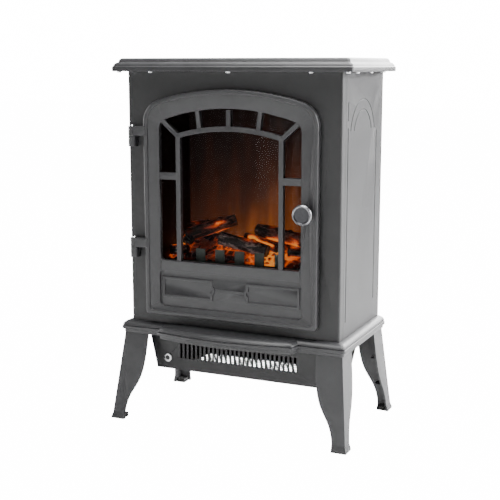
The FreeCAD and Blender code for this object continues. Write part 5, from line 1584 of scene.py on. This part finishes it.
@dataclass
class Studio:
    """The pale floor, the soft lights and the camera.

    Attributes:
        floor: The floor's half width.
        eye: The camera's place.
        target: What it looks at.
        lens: Its focal length in millimetres.
        sky: The brightness all round that lights the stove.
        backdrop: The brightness of the backdrop itself.
        cover: How much of the floor's brightness is the backdrop's.
        paint: The floor's own grey, from 0 to 1.
        sensor: The camera's sensor width in millimetres.
    """

    floor: float = 12.0
    eye: tuple[float, float, float] = (0.6675, -1.4913, 0.5701)
    target: tuple[float, float, float] = (-0.0094, 0.0117, 0.2733)
    lens: float = 74.17
    sky: float = 0.035
    backdrop: float = 16.0
    cover: float = 0.97
    paint: float = 0.6
    sensor: float = 36.0

    def build(self) -> None:
        """Sets up the studio."""
        self.build_floor()
        self.build_sky()
        self.build_camera()
        for lamp in (
            Lamp("key_right", (2.5, 0.7, 1.3), (0.0, 0.0, 0.4), 1.6, 330.0),
            Lamp("back_soft", (0.4, 2.8, 1.9), (0.0, 0.0, 0.5), 2.4, 420.0),
            Lamp("top_soft", (0.2, 0.3, 2.6), (0.0, 0.0, 0.4), 1.6, 170.0),
            Lamp("top_front", (-0.3, -1.1, 2.8), (0.0, 0.0, 0.3), 1.2, 62.0),
            Lamp("edge_left", (-2.4, 0.3, 0.6), (0.0, 0.0, 0.35), 1.4, 80.0),
            Lamp("fill_front", (-0.4, -2.6, 0.35), (0.0, 0.0, 0.15), 1.3, 16.0),
        ):
            lamp.build()

    def build_floor(self) -> None:
        """Lays the floor."""
        shape = bmesh.new()
        bmesh.ops.create_grid(shape, x_segments=1, y_segments=1, size=self.floor)
        mesh = bpy.data.meshes.new("studio_floor")
        shape.to_mesh(mesh)
        shape.free()
        floor = bpy.data.objects.new("studio_floor", mesh)
        bpy.context.scene.collection.objects.link(floor)
        graph = Graph("pale_floor")
        grey = (self.paint, self.paint, self.paint, 1.0)
        matt = graph.add("ShaderNodeBsdfDiffuse", None, {"Color": grey}).out()
        lit = graph.add("ShaderNodeEmission", None, {"Strength": self.backdrop}).out()
        seen = graph.add("ShaderNodeLightPath").out("Is Camera Ray")
        both = graph.add("ShaderNodeMixShader", None, {0: seen * self.cover, 1: matt, 2: lit}).out()
        graph.add("ShaderNodeOutputMaterial", None, {"Surface": both})
        floor.data.materials.append(graph.material)

    def build_sky(self) -> None:
        """Lights the studio evenly from all round."""
        world = bpy.data.worlds.new("studio_sky")
        world.use_nodes = True
        tree = world.node_tree
        backdrop = tree.nodes["Background"]
        backdrop.inputs["Color"].default_value = (1.0, 1.0, 1.0, 1.0)
        seen = tree.nodes.new("ShaderNodeLightPath")
        level = tree.nodes.new("ShaderNodeMapRange")
        level.inputs["To Min"].default_value = self.sky
        level.inputs["To Max"].default_value = self.backdrop
        tree.links.new(seen.outputs["Is Camera Ray"], level.inputs["Value"])
        tree.links.new(level.outputs["Result"], backdrop.inputs["Strength"])
        bpy.context.scene.world = world

    def build_camera(self) -> None:
        """Stands the camera."""
        lens = bpy.data.cameras.new("studio_camera")
        lens.lens = self.lens
        lens.sensor_width = self.sensor
        camera = bpy.data.objects.new("studio_camera", lens)
        bpy.context.scene.collection.objects.link(camera)
        camera.location = self.eye
        camera.rotation_euler = facing(self.eye, self.target)
        bpy.context.scene.camera = camera


def main() -> None:
    """Builds the stove's looks and its studio."""
    logging.basicConfig(level=logging.INFO, format="%(message)s")
    for kind in (Cabinet, Legs, Door, Fire, FlameEffect, Controls, FanHeater, CordEntry):
        LOG.info("-- %s", kind.__name__)
        kind().build()
    Studio().build()


if __name__ == "__main__":
    main()
